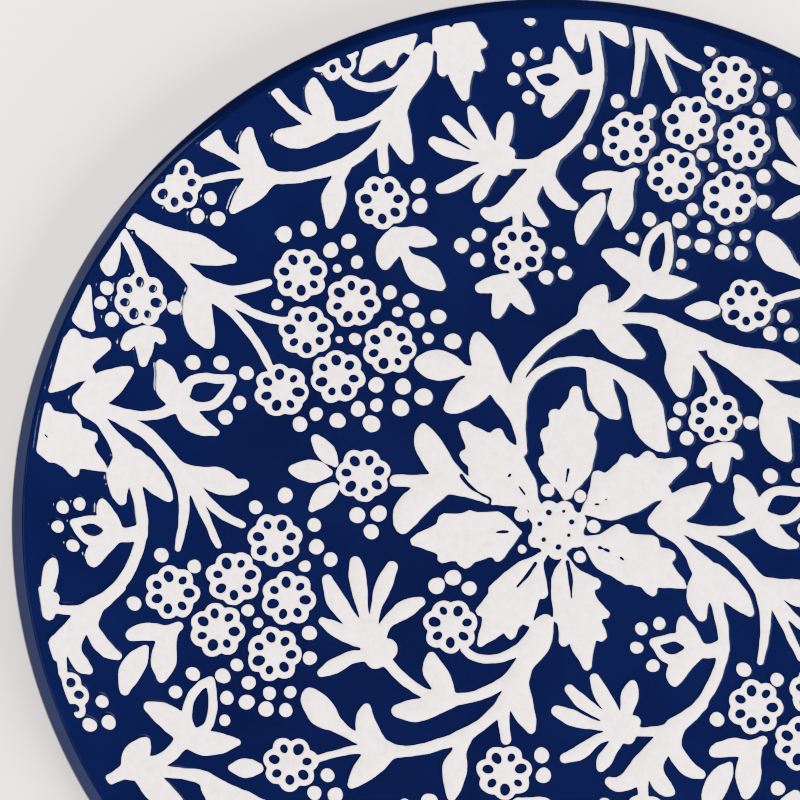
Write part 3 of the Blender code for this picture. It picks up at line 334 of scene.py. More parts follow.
# Serrated outlines of the flower's leaves
FLOWER_LEAVES = [
    [
        (2.2, 8), (0.8, 10.2), (-1.5, 12.8), (-3.3, 15), (-4.3, 17.2), (-3.9, 18.9), (-2.6, 19.7),
        (-2.9, 22.2), (-3.8, 24.6), (-3.2, 26), (-1.5, 26.8), (-1.3, 28.4), (-1.6, 30), (-0.9, 31.1),
        (0.3, 31.5), (1.2, 30.8), (2.2, 32.2), (3.6, 34), (4.1, 36), (4.8, 37.1), (6, 37.1),
        (6.8, 36.2), (6.9, 34.5), (7.5, 32.3), (8.2, 30.7), (9.9, 30.4), (10.9, 29.1), (10.5, 27),
        (9.6, 24.7), (10.3, 22.8), (10.3, 21), (9.6, 18.6), (9, 16), (8, 14), (6.5, 12), (5, 10.5),
        (3.8, 8.6),
    ],
    [
        (6, 4.6), (7, 7), (8, 9.5), (8.5, 11), (9, 13.5), (9.6, 15.1), (11, 15.4), (12.3, 14.7),
        (14, 16), (15.6, 17.5), (16.4, 19), (17.6, 19.8), (18.8, 19.5), (19.7, 18.4), (21, 18.9),
        (22, 20.2), (23.2, 20.6), (24.4, 19.9), (25.2, 18.6), (27.5, 18.2), (29.5, 18.7), (31.5, 19),
        (32.8, 18), (32.7, 16.3), (31, 14.8), (29, 13), (27.8, 11.5), (28.6, 10.4), (28.7, 9.3),
        (27.5, 8.3), (24.5, 7.5), (22.5, 6.3), (20.5, 5), (17.5, 4), (15, 3.1), (13, 2.9), (10.5, 3.3),
        (7.5, 4.1),
    ],
    [
        (5.8, -1.4), (8.5, -1.2), (11, -0.8), (13, 0.5), (15.3, 1.7), (17.1, 1.2), (18.2, -0.5),
        (21, -0.9), (24, -1), (25.2, -1.9), (25.6, -4.3), (27.5, -4.6), (29.4, -5.2), (29.6, -6.8),
        (28.5, -8), (29.5, -10), (31.5, -12.5), (32.3, -14.6), (28, -14.4), (24.9, -14.3),
        (24.8, -15.9), (23.7, -16.7), (22.3, -15.8), (21, -14.2), (18.5, -13.4), (17, -13.5),
        (14, -11.6), (12, -10.6), (10, -9.4), (8.5, -7), (7, -4), (5.4, -2.6),
    ],
    [
        (2, -5.6), (0.8, -8.2), (-0.5, -9.8), (-1.3, -12), (-1.5, -15), (-1.2, -19), (-1.1, -22.4),
        (0.1, -23.4), (0.2, -26), (0.2, -28.2), (1, -29.2), (2, -29.1), (2.8, -28.2), (3.5, -30),
        (5, -32.5), (6.2, -34.8), (7.1, -35.3), (8.2, -34.5), (8.3, -32), (8.9, -29), (9.3, -27.5),
        (10.9, -28), (12.2, -26.9), (11.7, -25), (10.8, -23.2), (11, -22.2), (12.4, -22),
        (12.8, -20.8), (11.8, -19.7), (10.4, -18), (9.3, -16), (9, -14.8), (10.3, -14.3),
        (10.8, -13.1), (10.2, -12.2), (8, -11.1), (6, -10.1), (4.4, -8.8), (3.2, -7),
    ],
    [
        (-3.4, -5), (-6.5, -6.6), (-9.5, -7.9), (-13.5, -11), (-17, -14.3), (-17, -15.8), (-18.6, -18),
        (-20.3, -20), (-19.9, -21.2), (-18.7, -21.6), (-19, -24), (-19.7, -26.5), (-20, -28.8),
        (-19.2, -29.5), (-17.5, -28.3), (-15.5, -27), (-13.3, -25.4), (-12.7, -26.8), (-11.7, -27.5),
        (-10.6, -26.6), (-9.9, -24.6), (-8.7, -23.4), (-7.2, -24.1), (-6.3, -23.4), (-5.7, -21),
        (-4.6, -17.1), (-3.2, -17.1), (-2.3, -16), (-2.6, -13), (-3.2, -10.5), (-3.5, -8),
        (-2.2, -5.6),
    ],
    [
        (-8.5, -0.1), (-9.2, 0.5), (-10.2, 1.6), (-12.5, 3.8), (-14.5, 4.9), (-17, 4.8), (-19.5, 4.9),
        (-21.6, 5.4), (-23.3, 4.5), (-26, 4.4), (-28, 4.6), (-29.3, 3.8), (-29.8, 1.9), (-32, 0.5),
        (-34.5, -0.6), (-36.4, -2), (-36.1, -3.5), (-33.5, -4.2), (-31, -5), (-29.3, -5.8),
        (-29.5, -7.3), (-28.5, -8.1), (-26.5, -7.5), (-25, -7.4), (-24.2, -8.8), (-22.9, -9.5),
        (-21.4, -8.8), (-20.5, -7.7), (-18.5, -7.2), (-17, -6.6), (-15.9, -6.6), (-15.3, -7.8),
        (-14.2, -7.8), (-13.2, -6.7), (-12, -4.8), (-10.3, -2.5), (-9.1, -0.8), (-8.6, -0.5),
    ],
    [
        (-3.6, 6.4), (-4.5, 8.5), (-4.6, 11), (-5.2, 13.2), (-6.5, 16), (-7.9, 18.8), (-8.6, 21),
        (-10, 22), (-11.5, 22.8), (-12.4, 24), (-13.3, 25.9), (-14.2, 26.2), (-15.2, 25.9),
        (-16.2, 24.9), (-18.5, 26), (-20.5, 27), (-22, 28.1), (-23.5, 28), (-24.1, 27), (-23.3, 25),
        (-22.5, 22.5), (-22.2, 21), (-23.5, 20.5), (-24, 19.5), (-23.2, 18), (-21.7, 16.7),
        (-21.7, 15), (-21.4, 13.5), (-20, 12.3), (-18, 11), (-15.7, 9.2), (-15.6, 6.9), (-13, 6.5),
        (-10, 6.4), (-7, 5.7), (-5, 4),
    ],
]

# x, y, radius of the bumpy disc in the flower's middle, and of the small pits in it
FLOWER_CENTRE = [
    (0.2, 0.5, 6.3), (-5.2, -2.2, 1.9), (-4.6, 4, 2.2), (2.2, 5.5, 2.1), (5.3, 2.6, 2.2),
    (4.8, -2, 2.2), (0.2, -4.8, 2.3), (-1.6, 5.8, 2),
]
FLOWER_HOLES = [
    (-1.8, 4.8, 0.85), (1.9, 5.1, 0.6), (3.9, 2.4, 0.8), (3.1, -1, 0.65), (0.4, -4, 0.8),
    (-3.2, -2.1, 0.8), (-4.1, 1.9, 0.7),
]
# fine cuts in the leaves
FLOWER_SLITS = [
    [(-23.6, 14.3, 0.5), (-21.5, 11.6, 0.5), (-19, 9.7, 0.4), (-16.4, 8.3, 0.45), (-16.6, 7, 0.35)],
    [(3.2, 15.8, 0.4), (2.6, 12.6, 0.35)],
    [(-15, -0.2, 0.25), (-13.4, -0.15, 0.55), (-12, -0.1, 0.35)],
    [(2.6, -7.8, 0.55), (3.2, -11, 0.6), (3.4, -14, 0.5), (3.5, -17, 0.35)],
    [(-5.3, -8.2, 0.5), (-7.5, -11.3, 0.55), (-10, -14.1, 0.3)],
    [(10.6, -4.2, 0.5), (11, -4.3, 0.5)],
    [(12.1, -4.7, 0.45), (13, -5.1, 0.4)],
    [(15.9, -6.7, 0.4), (16.6, -7.3, 0.4)],
    [(12.4, 8.1, 0.4), (12.8, 8.1, 0.4)],
    [(9.8, 6.9, 0.35), (10.7, 6.9, 0.35)],
    [(-11.3, 14.5, 0.35), (-11.7, 14, 0.35)],
    [(-9.2, 11.5, 0.4), (-7.7, 9.4, 0.4)],
]

# x, y, turn in degrees of one repeat's rosettes
ROSETTES = [
    (-26.6, -24, 11.5), (-13.7, -60.9, 13.7), (-48, 14.3, 16), (-63.4, 65.9, 15.2), (-50.2, 59.1, 44),
    (-62, 51.2, 15.4), (-41.2, 47, 44), (-54.2, 39.7, 44), (-68.2, 36.1, 45.5), (-66.7, -17, 45.6),
    (19.5, 101, 50.2), (34.9, 104.9, 12.4), (30.8, 91.8, 47.5), (44.8, 85.8, 49), (45.1, 114.6, 13),
    (-8.5, 72.3, 9.4), (48.7, 58.1, 10.2), (-104, 58, 41.5),
]

# x, y, radius of one repeat's dots
DOTS = [
    (-2.1, 10.4, 1.75), (6.1, 9, 1.6), (9.3, 1.3, 1.7), (5.7, -6.5, 1.5), (-8.6, -4.6, 1.15),
    (-8.7, 4.2, 1.8), (24.6, 80.5, 1.8), (20.3, 75.6, 1.6), (32.1, 80.2, 1.9), (33.1, 74.6, 1.75),
    (32.5, 68.8, 1.4), (35.5, 83, 1.6), (38.5, 78.5, 1.7), (37.9, 73.7, 1.9), (43.6, 76, 1.7),
    (42.8, 71.9, 1.9), (48.7, 76.3, 1.5), (47.6, 71.6, 1.75), (16.8, 110.4, 1.8), (25, 107.8, 1.7),
    (9.9, 97.8, 1.8), (38.3, 96.9, 1.6), (40.8, 93.6, 1.3), (53.5, 91.1, 1.8), (53.5, 84.8, 1.75),
    (52.5, 108, 1.55), (58.9, 109.7, 1.8), (55.4, 112.9, 1.85), (40.3, 122.9, 1.7), (54.9, 118.4, 1.7),
    (47.6, 126, 1.9), (-8.4, 120.8, 1.65), (-3.9, 122.1, 1.6), (-9.6, 115.9, 1.6), (-5.7, 111.4, 1.65),
    (-90.5, 42.8, 1.9), (-83.3, 42.9, 1.9), (-77, 40.5, 1.8), (-78.7, 32.9, 1.8), (-82.3, 29.1, 1.8),
    (-57.3, -61.4, 1.7), (-60.6, -66, 1.8), (-55.4, -66.4, 1.9), (-30, -13.8, 2.05), (-25.8, -11.7, 2),
    (-21.9, -14.5, 1.85), (-4.5, -56.6, 1.9), (-4.1, -61.6, 1.9), (-49.5, 4.1, 2), (-44.2, 4.5, 2),
    (-46.1, 0, 1.95), (-67.5, 76, 2), (-61.4, 77.5, 2), (-55.7, 72.3, 1.95), (-51.3, 74.6, 1.9),
    (-49.2, 69.2, 1.6), (-54.1, 67.6, 1.2), (-41, 61.4, 1.85), (-35.7, 59.3, 1.9), (-39.1, 56.3, 1.4),
    (-34.2, 54.3, 1.9), (-28.9, 55.2, 1.95), (-69.3, 58.1, 1.5), (-53.8, 49.2, 0.95),
    (-49.7, 49.4, 1.5), (-31.5, 49.6, 1.45), (-25.3, 48.8, 2.1), (-44.5, 37.6, 1.95), (-37.9, 37.1, 2),
    (-44.5, 32.3, 1.65), (-49.1, 31.3, 1.95), (-38.6, 31.6, 2.15), (-32.7, 34.4, 2.25),
    (-59.6, 30, 1.75), (-63.7, 27.4, 1.9), (-54.3, 28.4, 1.95), (-45.9, 27.5, 2.15),
    (-22.9, 73.6, 1.9), (-18.4, 76.4, 1.8), (-18.8, 69.9, 1.8), (1.6, 71.8, 1.6), (-1.7, 65.4, 1.8),
    (3.2, 66.6, 1.8), (-112.8, 60, 1.7), (-114.3, 56.2, 1.7), (-111.3, 52.4, 1.8), (-95.2, 56.4, 1.8),
]


# ---------------------------------------------------------------- the plate's section

def arc_points(centre, radius, start, end, steps):
    """Points (r, z) along an arc; the angle is the tilt of the surface normal from straight up."""
    angles = np.radians(np.linspace(start, end, steps + 1))
    return np.column_stack((centre[0] + radius * np.sin(angles), centre[1] + radius * np.cos(angles)))


def arc_centre(point, radius, angle):
    """Centre of a convex arc that leaves `point` with its normal tilted by `angle`."""
    tilt = math.radians(angle)
    return (point[0] - radius * math.sin(tilt), point[1] - radius * math.cos(tilt))


def face_and_lip(depth):
    """Profile from the axis over the well, up the wall and round the lip, `depth` under the skin."""
    wall_centre = (FLOOR_RADIUS, FLOOR_HEIGHT + WALL_ARC)
    floor = np.column_stack((np.linspace(0.0, FLOOR_RADIUS, 28), np.full(28, FLOOR_HEIGHT - depth)))
    wall = arc_points(wall_centre, -(WALL_ARC + depth), 0.0, -WALL_END, 36)
    wall_top = arc_points(wall_centre, -WALL_ARC, -WALL_END, -WALL_END, 1)[0]
    crest_centre = arc_centre(wall_top, CREST_ARC, -WALL_END)
    crest_top = arc_points(crest_centre, CREST_ARC, CREST_END, CREST_END, 1)[0]
    lip_centre = arc_centre(crest_top, LIP_ARC, CREST_END)
    lip_end = arc_points(lip_centre, LIP_ARC, LIP_END, LIP_END, 1)[0]
    edge_centre = arc_centre(lip_end, EDGE_ARC, LIP_END)
    crest = arc_points(crest_centre, CREST_ARC - depth, -WALL_END, CREST_END, 8)
    lip = arc_points(lip_centre, LIP_ARC - depth, CREST_END, LIP_END, 8)
    edge = arc_points(edge_centre, EDGE_ARC - depth, LIP_END, EDGE_END, 12)
    return np.vstack((floor, wall[1:], crest[1:], lip[1:], edge[1:]))


def underside(depth, last_angle):
    """Outside of the wall from the lip down towards the foot, `depth` under the skin."""
    first_angle = 180.0 - EDGE_END
    tilt = np.linspace(first_angle, last_angle, 33)[1:]
    radius = UNDERSIDE_ARC + UNDERSIDE_THICKENING * (1.0 - tilt / first_angle) - depth
    angle = np.radians(tilt)
    height = FLOOR_HEIGHT + WALL_ARC - radius * np.cos(angle)
    return np.column_stack((FLOOR_RADIUS + radius * np.sin(angle), height))


def turned(name, profile, segments=320):
    """Solid of revolution of an (r, z) profile that starts and ends on the axis."""
    profile = np.asarray(profile) * MM
    turn = np.linspace(0.0, 2 * math.pi, segments, endpoint=False)
    ring = np.stack([
        profile[:, None, 0] * np.cos(turn), profile[:, None, 0] * np.sin(turn),
        np.repeat(profile[:, None, 1], segments, 1),
    ], -1)
    verts = ring.reshape(-1, 3)
    number = np.arange(len(profile) * segments).reshape(len(profile), segments)
    after = np.roll(number, -1, axis=1)
    faces = []
    for upper, lower in zip(range(len(profile)), range(1, len(profile))):
        faces.append(np.stack((number[upper], number[lower], after[lower], after[upper]), -1))
    mesh = bpy.data.meshes.new(name)
    mesh.from_pydata(verts.tolist(), [], np.vstack(faces).tolist())
    cleaner = bmesh.new()
    cleaner.from_mesh(mesh)
    bmesh.ops.remove_doubles(cleaner, verts=cleaner.verts, dist=1e-7)
    bmesh.ops.recalc_face_normals(cleaner, faces=cleaner.faces)
    cleaner.to_mesh(mesh)
    cleaner.free()
    mesh.shade_smooth()
    made = bpy.data.objects.new(name, mesh)
    bpy.context.scene.collection.objects.link(made)
    return made


# ---------------------------------------------------------------- distance field of the decoration

def smooth_path(points):
    """Catmull-Rom curve through (x, y, half width) points."""
    knots = np.array(points, float)
    knots = np.vstack((2 * knots[0] - knots[1], knots, 2 * knots[-1] - knots[-2]))
    path = []
    for before, start, end, after in zip(knots, knots[1:], knots[2:], knots[3:]):
        steps = max(1, math.ceil(np.hypot(*(end - start)[:2]) / SPLINE_STEP))
        t = np.arange(steps)[:, None] / steps
        path.append(0.5 * (
            2 * start + (end - before) * t + (2 * before - 5 * start + 4 * end - after) * t ** 2
            + (3 * start - before - 3 * end + after) * t ** 3
        ))
    return np.vstack(path + [knots[-2:-1]])


def blended(first, second, softness):
    """Smallest of two distances, with a fillet where they meet."""
    near = np.maximum(softness - np.abs(first - second), 0.0) / softness
    return np.minimum(first, second) - near * near * softness / 4


class Field:
    """Distance to the decoration's outline on a square grid, negative inside."""

    def __init__(self):
        self.count = int(2 * GRID_REACH / GRID_STEP) + 1
        self.axis = -GRID_REACH + GRID_STEP * np.arange(self.count)
        self.value = np.full((self.count, self.count), FIELD_START)

    def window(self, low, high, margin=2.5):
        """Slices and coordinates of the part of the grid round a box, or None outside the grid."""
        start = np.clip(((np.array(low) - margin + GRID_REACH) / GRID_STEP).astype(int), 0, self.count)
        stop = np.clip(((np.array(high) + margin + GRID_REACH) / GRID_STEP).astype(int) + 2, 0, self.count)
        if start[0] >= stop[0] or start[1] >= stop[1]:
            return None
        place = (slice(start[1], stop[1]), slice(start[0], stop[0]))
        return place, self.axis[None, place[1]], self.axis[place[0], None]

    def add_stroke(self, points, move):
        """A brush stroke through (x, y, half width) points."""
        path = smooth_path(points) + (move[0], move[1], 0.0)
        reach = path[:, 2].max()
        area = self.window(path[:, :2].min(0) - reach, path[:, :2].max(0) + reach)
        if area is None:
            return
        place, across, along = area
        nearest = np.full((along.shape[0], across.shape[1]), FAR_AWAY)
        for start, end in zip(path, path[1:]):
            self.capsule(nearest, across, along, start, end)
        self.value[place] = blended(self.value[place], nearest, JOIN_SOFTNESS)

    @staticmethod
    def capsule(nearest, across, along, start, end):
        """Lower `nearest` to the distance from one straight stretch of a stroke."""
        reach = max(start[2], end[2]) + 3.0
        columns = np.flatnonzero(
            (across[0] > min(start[0], end[0]) - reach) & (across[0] < max(start[0], end[0]) + reach))
        lines = np.flatnonzero(
            (along[:, 0] > min(start[1], end[1]) - reach) & (along[:, 0] < max(start[1], end[1]) + reach))
        if not len(columns) or not len(lines):
            return
        place = (slice(lines[0], lines[-1] + 1), slice(columns[0], columns[-1] + 1))
        x = across[:, place[1]]
        y = along[place[0]]
        step = end - start
        share = ((x - start[0]) * step[0] + (y - start[1]) * step[1]) / (step[0] ** 2 + step[1] ** 2 + 1e-9)
        share = np.clip(share, 0.0, 1.0)
        distance = np.hypot(x - start[0] - share * step[0], y - start[1] - share * step[1])
        nearest[place] = np.minimum(nearest[place], distance - start[2] - share * step[2])

    def add_disc(self, x, y, radius, softness=0.4, gap=0.0):
        """A round spot, pressed a little out of round, with bare glaze round it if there is a gap."""
        area = self.window((x - radius, y - radius), (x + radius, y + radius))
        if area:
            place, across, along = area
            heading = np.arctan2(along - y, across - x)
            uneven = 0.035 * np.sin(2 * heading + 1.7 * x) + 0.02 * np.sin(3 * heading + 2.3 * y)
            distance = np.hypot(across - x, along - y) - radius * (1.0 + uneven)
            if gap:
                self.value[place] = np.maximum(self.value[place], gap - distance)
            self.value[place] = blended(self.value[place], distance, softness)

    def cut_hole(self, x, y, half_length, half_width, heading):
        """An oval pit, with its length along a heading."""
        area = self.window((x - half_length, y - half_length), (x + half_length, y + half_length), 0.5)
        if area:
            place, across, along = area
            lengthwise = (across - x) * math.cos(heading) + (along - y) * math.sin(heading)
            sideways = (along - y) * math.cos(heading) - (across - x) * math.sin(heading)
            inside = 1.0 - np.hypot(lengthwise / half_length, sideways / half_width)
            self.value[place] = np.maximum(self.value[place], inside * half_width)

    def cut_slit(self, points, move):
        """A narrow line of bare glaze through (x, y, half width) points."""
        path = smooth_path(points) + (move[0], move[1], 0.0)
        area = self.window(path[:, :2].min(0), path[:, :2].max(0), 1.5)
        if area:
            place, across, along = area
            nearest = np.full((along.shape[0], across.shape[1]), FAR_AWAY)
            for start, end in zip(path, path[1:]):
                self.capsule(nearest, across, along, start, end)
            self.value[place] = np.maximum(self.value[place], -nearest)

    def add_polygon(self, points, move):
        """A straight-sided shape through its corners."""
        corners = np.array(points, float) + move
        area = self.window(corners.min(0), corners.max(0))
        if area is None:
            return
        place, across, along = area
        distance = np.full((along.shape[0], across.shape[1]), FAR_AWAY)
        inside = np.zeros(distance.shape, bool)
        for start, end in zip(corners, np.roll(corners, -1, axis=0)):
            step = end - start
            share = ((across - start[0]) * step[0] + (along - start[1]) * step[1]) / (step @ step)
            share = np.clip(share, 0.0, 1.0)
            gap = np.hypot(across - start[0] - share * step[0], along - start[1] - share * step[1])
            distance = np.minimum(distance, gap)
            if step[1] != 0.0:
                crossing = start[0] + (along - start[1]) * step[0] / step[1]
                inside ^= ((start[1] > along) != (end[1] > along)) & (across < crossing)
        signed = np.where(inside, -distance, distance)
        self.value[place] = blended(self.value[place], signed, JOIN_SOFTNESS)

    def soften(self):
        """Round off corners that a brush would not leave."""
        for axis in (0, 1):
            before = np.roll(self.value, 1, axis)
            after = np.roll(self.value, -1, axis)
            self.value = 0.25 * before + 0.5 * self.value + 0.25 * after

    def sample(self, values, points):
        """Bilinear reading of a grid at points (x, y)."""
        place = (points + GRID_REACH) / GRID_STEP
        cell = np.clip(place.astype(int), 0, self.count - 2)
        part = place - cell
        column, line = cell[:, 0], cell[:, 1]
        lower = values[line, column] * (1 - part[:, 0]) + values[line, column + 1] * part[:, 0]
        upper = values[line + 1, column] * (1 - part[:, 0]) + values[line + 1, column + 1] * part[:, 0]
        return lower * (1 - part[:, 1]) + upper * part[:, 1]


def repeats(low, high):
    """Every shift by whole repeats that brings a motif's box onto the plate."""
    low = np.array(low, float)
    high = np.array(high, float)
    reach = DECORATION_RADIUS + np.hypot(*(high - low)) / 2
    moves = []
    counts = range(-FARTHEST_REPEAT, FARTHEST_REPEAT + 1)
    for across in counts:
        for along in counts:
            move = across * np.array(REPEAT_ACROSS) + along * np.array(REPEAT_ALONG)
            if np.hypot(*((low + high) / 2 + move)) < reach:
                moves.append(move)
    return moves


def add_rosette(field, x, y, turn):
    """Seven lobes round a core, a pit in each; no two pits have quite the same size."""
    field.add_disc(x, y, ROSETTE_CORE, 0.05)
    headings = [math.radians(turn) + 2 * math.pi * petal / ROSETTE_PETALS for petal in range(ROSETTE_PETALS)]
    for heading in headings:
        field.add_disc(
            x + ROSETTE_RING * math.cos(heading), y + ROSETTE_RING * math.sin(heading), ROSETTE_LOBE, 0.05)
    for petal, heading in enumerate(headings):
        size = 1.0 + 0.13 * math.sin(2.7 * petal + 0.9 * x + 0.6 * y)
        field.cut_hole(
            x + ROSETTE_RING * math.cos(heading), y + ROSETTE_RING * math.sin(heading),
            ROSETTE_HOLE[0] * size, ROSETTE_HOLE[1] * size, heading)


def decoration_field():
    """The whole decoration's distance field, cut off below the rim."""
    field = Field()
    for strokes in STROKES.values():
        knots = np.array([knot for stroke in strokes for knot in stroke])
        for move in repeats(knots[:, :2].min(0), knots[:, :2].max(0)):
            for stroke in strokes:
                field.add_stroke(stroke, move)
    flower = np.array([corner for leaf in FLOWER_LEAVES for corner in leaf])
    for move in repeats(flower.min(0), flower.max(0)):
        for leaf in FLOWER_LEAVES:
            field.add_polygon(leaf, move)
        for x, y, radius in FLOWER_CENTRE:
            field.add_disc(x + move[0], y + move[1], radius)
        for x, y, radius in FLOWER_HOLES:
            field.cut_hole(x + move[0], y + move[1], radius, radius, 0.0)
        for slit in FLOWER_SLITS:
            field.cut_slit(slit, move)
    for x, y, turn in ROSETTES:
        for move in repeats((x - 7, y - 7), (x + 7, y + 7)):
            add_rosette(field, x + move[0], y + move[1], turn)
    for x, y, radius in DOTS:
        for move in repeats((x - 2, y - 2), (x + 2, y + 2)):
            field.add_disc(x + move[0], y + move[1], radius - DOT_TRIM, 0.05, DOT_GAP)
    field.soften()
    across, along = np.meshgrid(field.axis, field.axis)
    field.value += waver(across, along)
    heading = np.arctan2(along, across)
    lift = np.clip(np.cos(heading - math.radians(DECORATION_HEADING)), 0.0, 1.0) ** 2
    limit = DECORATION_RADIUS + DECORATION_SHIFT * lift
    ragged = 0.16 * np.sin(19 * heading) + 0.10 * np.sin(43 * heading + 1.3)
    field.value = -blended(-field.value, -(np.hypot(across, along) - limit - ragged), 0.9)
    return field


def waver(across, along):
    """Unsteadiness of a hand-drawn edge, in millimetres, as a sum of crossing waves."""
    total = np.zeros_like(across)
    for length, heading, height in WAVER:
        turn = math.radians(heading)
        phase = (across * math.cos(turn) + along * math.sin(turn)) * 2 * math.pi / length
        total += height * np.sin(phase + heading)
    return total


# ---------------------------------------------------------------- outlines

def outlines(field):
    """Closed outlines at distance zero, decoration on their left, by marching over the grid."""
    value = field.value
    inside = value < 0.0
    corners = (inside[:-1, :-1] * 1 + inside[:-1, 1:] * 2 + inside[1:, 1:] * 4 + inside[1:, :-1] * 8)
    # sides: 0 bottom, 1 right, 2 top, 3 left; from entry to exit with the inside on the left
    routes = {
        1: [(0, 3)], 2: [(1, 0)], 3: [(1, 3)], 4: [(2, 1)], 5: [(0, 1), (2, 3)], 6: [(2, 0)],
        7: [(2, 3)], 8: [(3, 2)], 9: [(0, 2)], 10: [(1, 2), (3, 0)], 11: [(1, 2)], 12: [(3, 1)],
        13: [(0, 1)], 14: [(3, 0)],
    }

    def crossing(line, column, side):
        """Name of the grid edge that a side of a cell is."""
        if side == 0:
            return (0, line, column)
        if side == 1:
            return (1, line, column + 1)
        if side == 2:
            return (0, line + 1, column)
        return (1, line, column)

    following = {}
    lines, columns = np.nonzero((corners > 0) & (corners < 15))
    for line, column, kind in zip(lines.tolist(), columns.tolist(), corners[lines, columns].tolist()):
        for start, end in routes[kind]:
            following[crossing(line, column, start)] = crossing(line, column, end)

    def place(edge):
        upright, line, column = edge
        first = value[line, column]
        second = value[line + 1, column] if upright else value[line, column + 1]
        part = first / (first - second)
        x = field.axis[column] + (0.0 if upright else part * GRID_STEP)
        y = field.axis[line] + (part * GRID_STEP if upright else 0.0)
        return x, y

    loops = []
    while following:
        first = next(iter(following))
        loop = []
        edge = first
        while edge in following:
            loop.append(place(edge))
            edge = following.pop(edge)
        loops.append(np.array(loop))
    return loops


def evenly(loop):
    """The closed loop with its points at even spacing."""
    closed = np.vstack((loop, loop[:1]))
    length = np.concatenate(([0.0], np.cumsum(np.hypot(*np.diff(closed, axis=0).T))))
    count = max(10, int(round(length[-1] / OUTLINE_STEP)))
    at = np.arange(count) * length[-1] / count
    return np.column_stack((np.interp(at, length, closed[:, 0]), np.interp(at, length, closed[:, 1])))


def signed_area(loop):
    """Area inside a closed loop, positive if the loop runs anticlockwise."""
    after = np.roll(loop, -1, axis=0)
    return 0.5 * np.sum(loop[:, 0] * after[:, 1] - after[:, 0] * loop[:, 1])


def contains(loop, point):
    """Whether a closed loop goes round a point."""
    after = np.roll(loop, -1, axis=0)
    straddles = (loop[:, 1] > point[1]) != (after[:, 1] > point[1])
    rise = np.where(after[:, 1] == loop[:, 1], 1.0, after[:, 1] - loop[:, 1])
    crossing = loop[:, 0] + (point[1] - loop[:, 1]) * (after[:, 0] - loop[:, 0]) / rise
    return np.count_nonzero(straddles & (point[0] < crossing)) % 2 == 1


def motifs(field):
    """Motifs as (outer loop, hole loops)."""
    outer = []
    holes = []
    for loop in outlines(field):
        area = signed_area(loop)
        if area > SMALLEST_MOTIF:
            outer.append((evenly(loop), []))
        elif area < -SMALLEST_HOLE:
            holes.append(evenly(loop))
    boxes = np.array([np.concatenate((loop.min(0), loop.max(0))) for loop, _ in outer])
    for hole in holes:
        x, y = hole[0]
        around = np.flatnonzero((boxes[:, 0] < x) & (boxes[:, 1] < y) & (boxes[:, 2] > x) & (boxes[:, 3] > y))
        owners = [number for number in around if contains(outer[number][0], hole[0])]
        if owners:
            owner = min(owners, key=lambda number: abs(signed_area(outer[number][0])))
            outer[owner][1].append(hole)
    return outer


# ---------------------------------------------------------------- raised motifs

def onto_plate(points):
    """(x, y, height above the glaze) on the flattened face to places on the plate, in metres."""
    distance = np.hypot(points[:, 0], points[:, 1])
    angle = np.arctan2(points[:, 1], points[:, 0])
    tilt = np.radians(np.linspace(0.0, WALL_END + 2.0, 400))
    radius = FLOOR_RADIUS + WALL_ARC * np.sin(tilt)
    spare = WALL_ARC * tilt - (radius - FLOOR_RADIUS)
    tight = np.interp(distance, radius + WALL_STRETCH[0] * spare, tilt, left=0.0)
    loose = np.interp(distance, radius + WALL_STRETCH[1] * spare, tilt, left=0.0)
    share = np.clip(np.cos(angle - math.radians(STRETCH_HEADING)), 0.0, 1.0) ** 2
    slope = tight + (loose - tight) * share
    on_wall = distance > FLOOR_RADIUS
    reach = WALL_ARC - points[:, 2]
    r = np.where(on_wall, FLOOR_RADIUS + reach * np.sin(slope), distance)
    z = FLOOR_HEIGHT + WALL_ARC - reach * np.cos(slope)
    return np.column_stack((r * np.cos(angle), r * np.sin(angle), z)) * MM


def pooling(boundary, normal):
    """How much glaze gathers against an edge: most on one side of the motifs on the left wall."""
    distance = np.maximum(np.hypot(boundary[:, 0], boundary[:, 1]), 1.0)
    side = np.arctan2(boundary[:, 1], boundary[:, 0]) % (2 * math.pi) - math.radians(POOL_HEADING)
    gathering = math.radians(GATHER_HEADING) - 1.55 * side
    facing = normal[:, 0] * np.cos(gathering) + normal[:, 1] * np.sin(gathering)
    steepness = np.clip((distance - 95.0) / 22.0, 0.0, 1.0)
    return steepness * np.clip(facing, 0.0, 1.0) * np.clip(1.9 * np.cos(side) - 0.6, 0.0, 1.0)


def painted_sheen_share(boundary, normal):
    """How strongly the painted reflection shows beside an edge: slate-blue colour standing in for a light
    mirrored in the glaze, on right-hand edges, most at the far right.
    """
    turn = math.radians(SHEEN_HEADING)
    facing = normal[:, 0] * math.cos(turn) + normal[:, 1] * math.sin(turn)
    across = np.clip((boundary[:, 0] + 75.0) / 130.0, 0.0, 1.0)
    along = np.clip((boundary[:, 1] + 80.0) / 180.0, 0.15, 1.0)
    return across * along * np.clip(facing, 0.0, 1.0)


def top_faces(top, rings, fill_points):
    """Triangles of the level top inside its rim: corners, triangles, their area, source corners."""
    rim = top[rings[0]]
    low, high = rim.min(0), rim.max(0)
    inner = fill_points[np.all((fill_points > low) & (fill_points < high), axis=1)]
    flat = [Vector(point) for point in top] + [Vector(point) for point in inner]
    anticlockwise = rings[:1] + [ring[::-1] for ring in rings[1:]]
    points, _, triangles, origin, _, sources = delaunay_2d_cdt(flat, [], anticlockwise, 1, 1e-6)
    kept = [triangle for triangle, source in zip(triangles, sources) if list(source) == [0]]
    return points, kept, covered(points, kept), origin


def covered(points, triangles):
    """Summed area of triangles."""
    area = 0.0
    for first, second, third in triangles:
        area += 0.5 * (points[second] - points[first]).cross(points[third] - points[first])
    return area


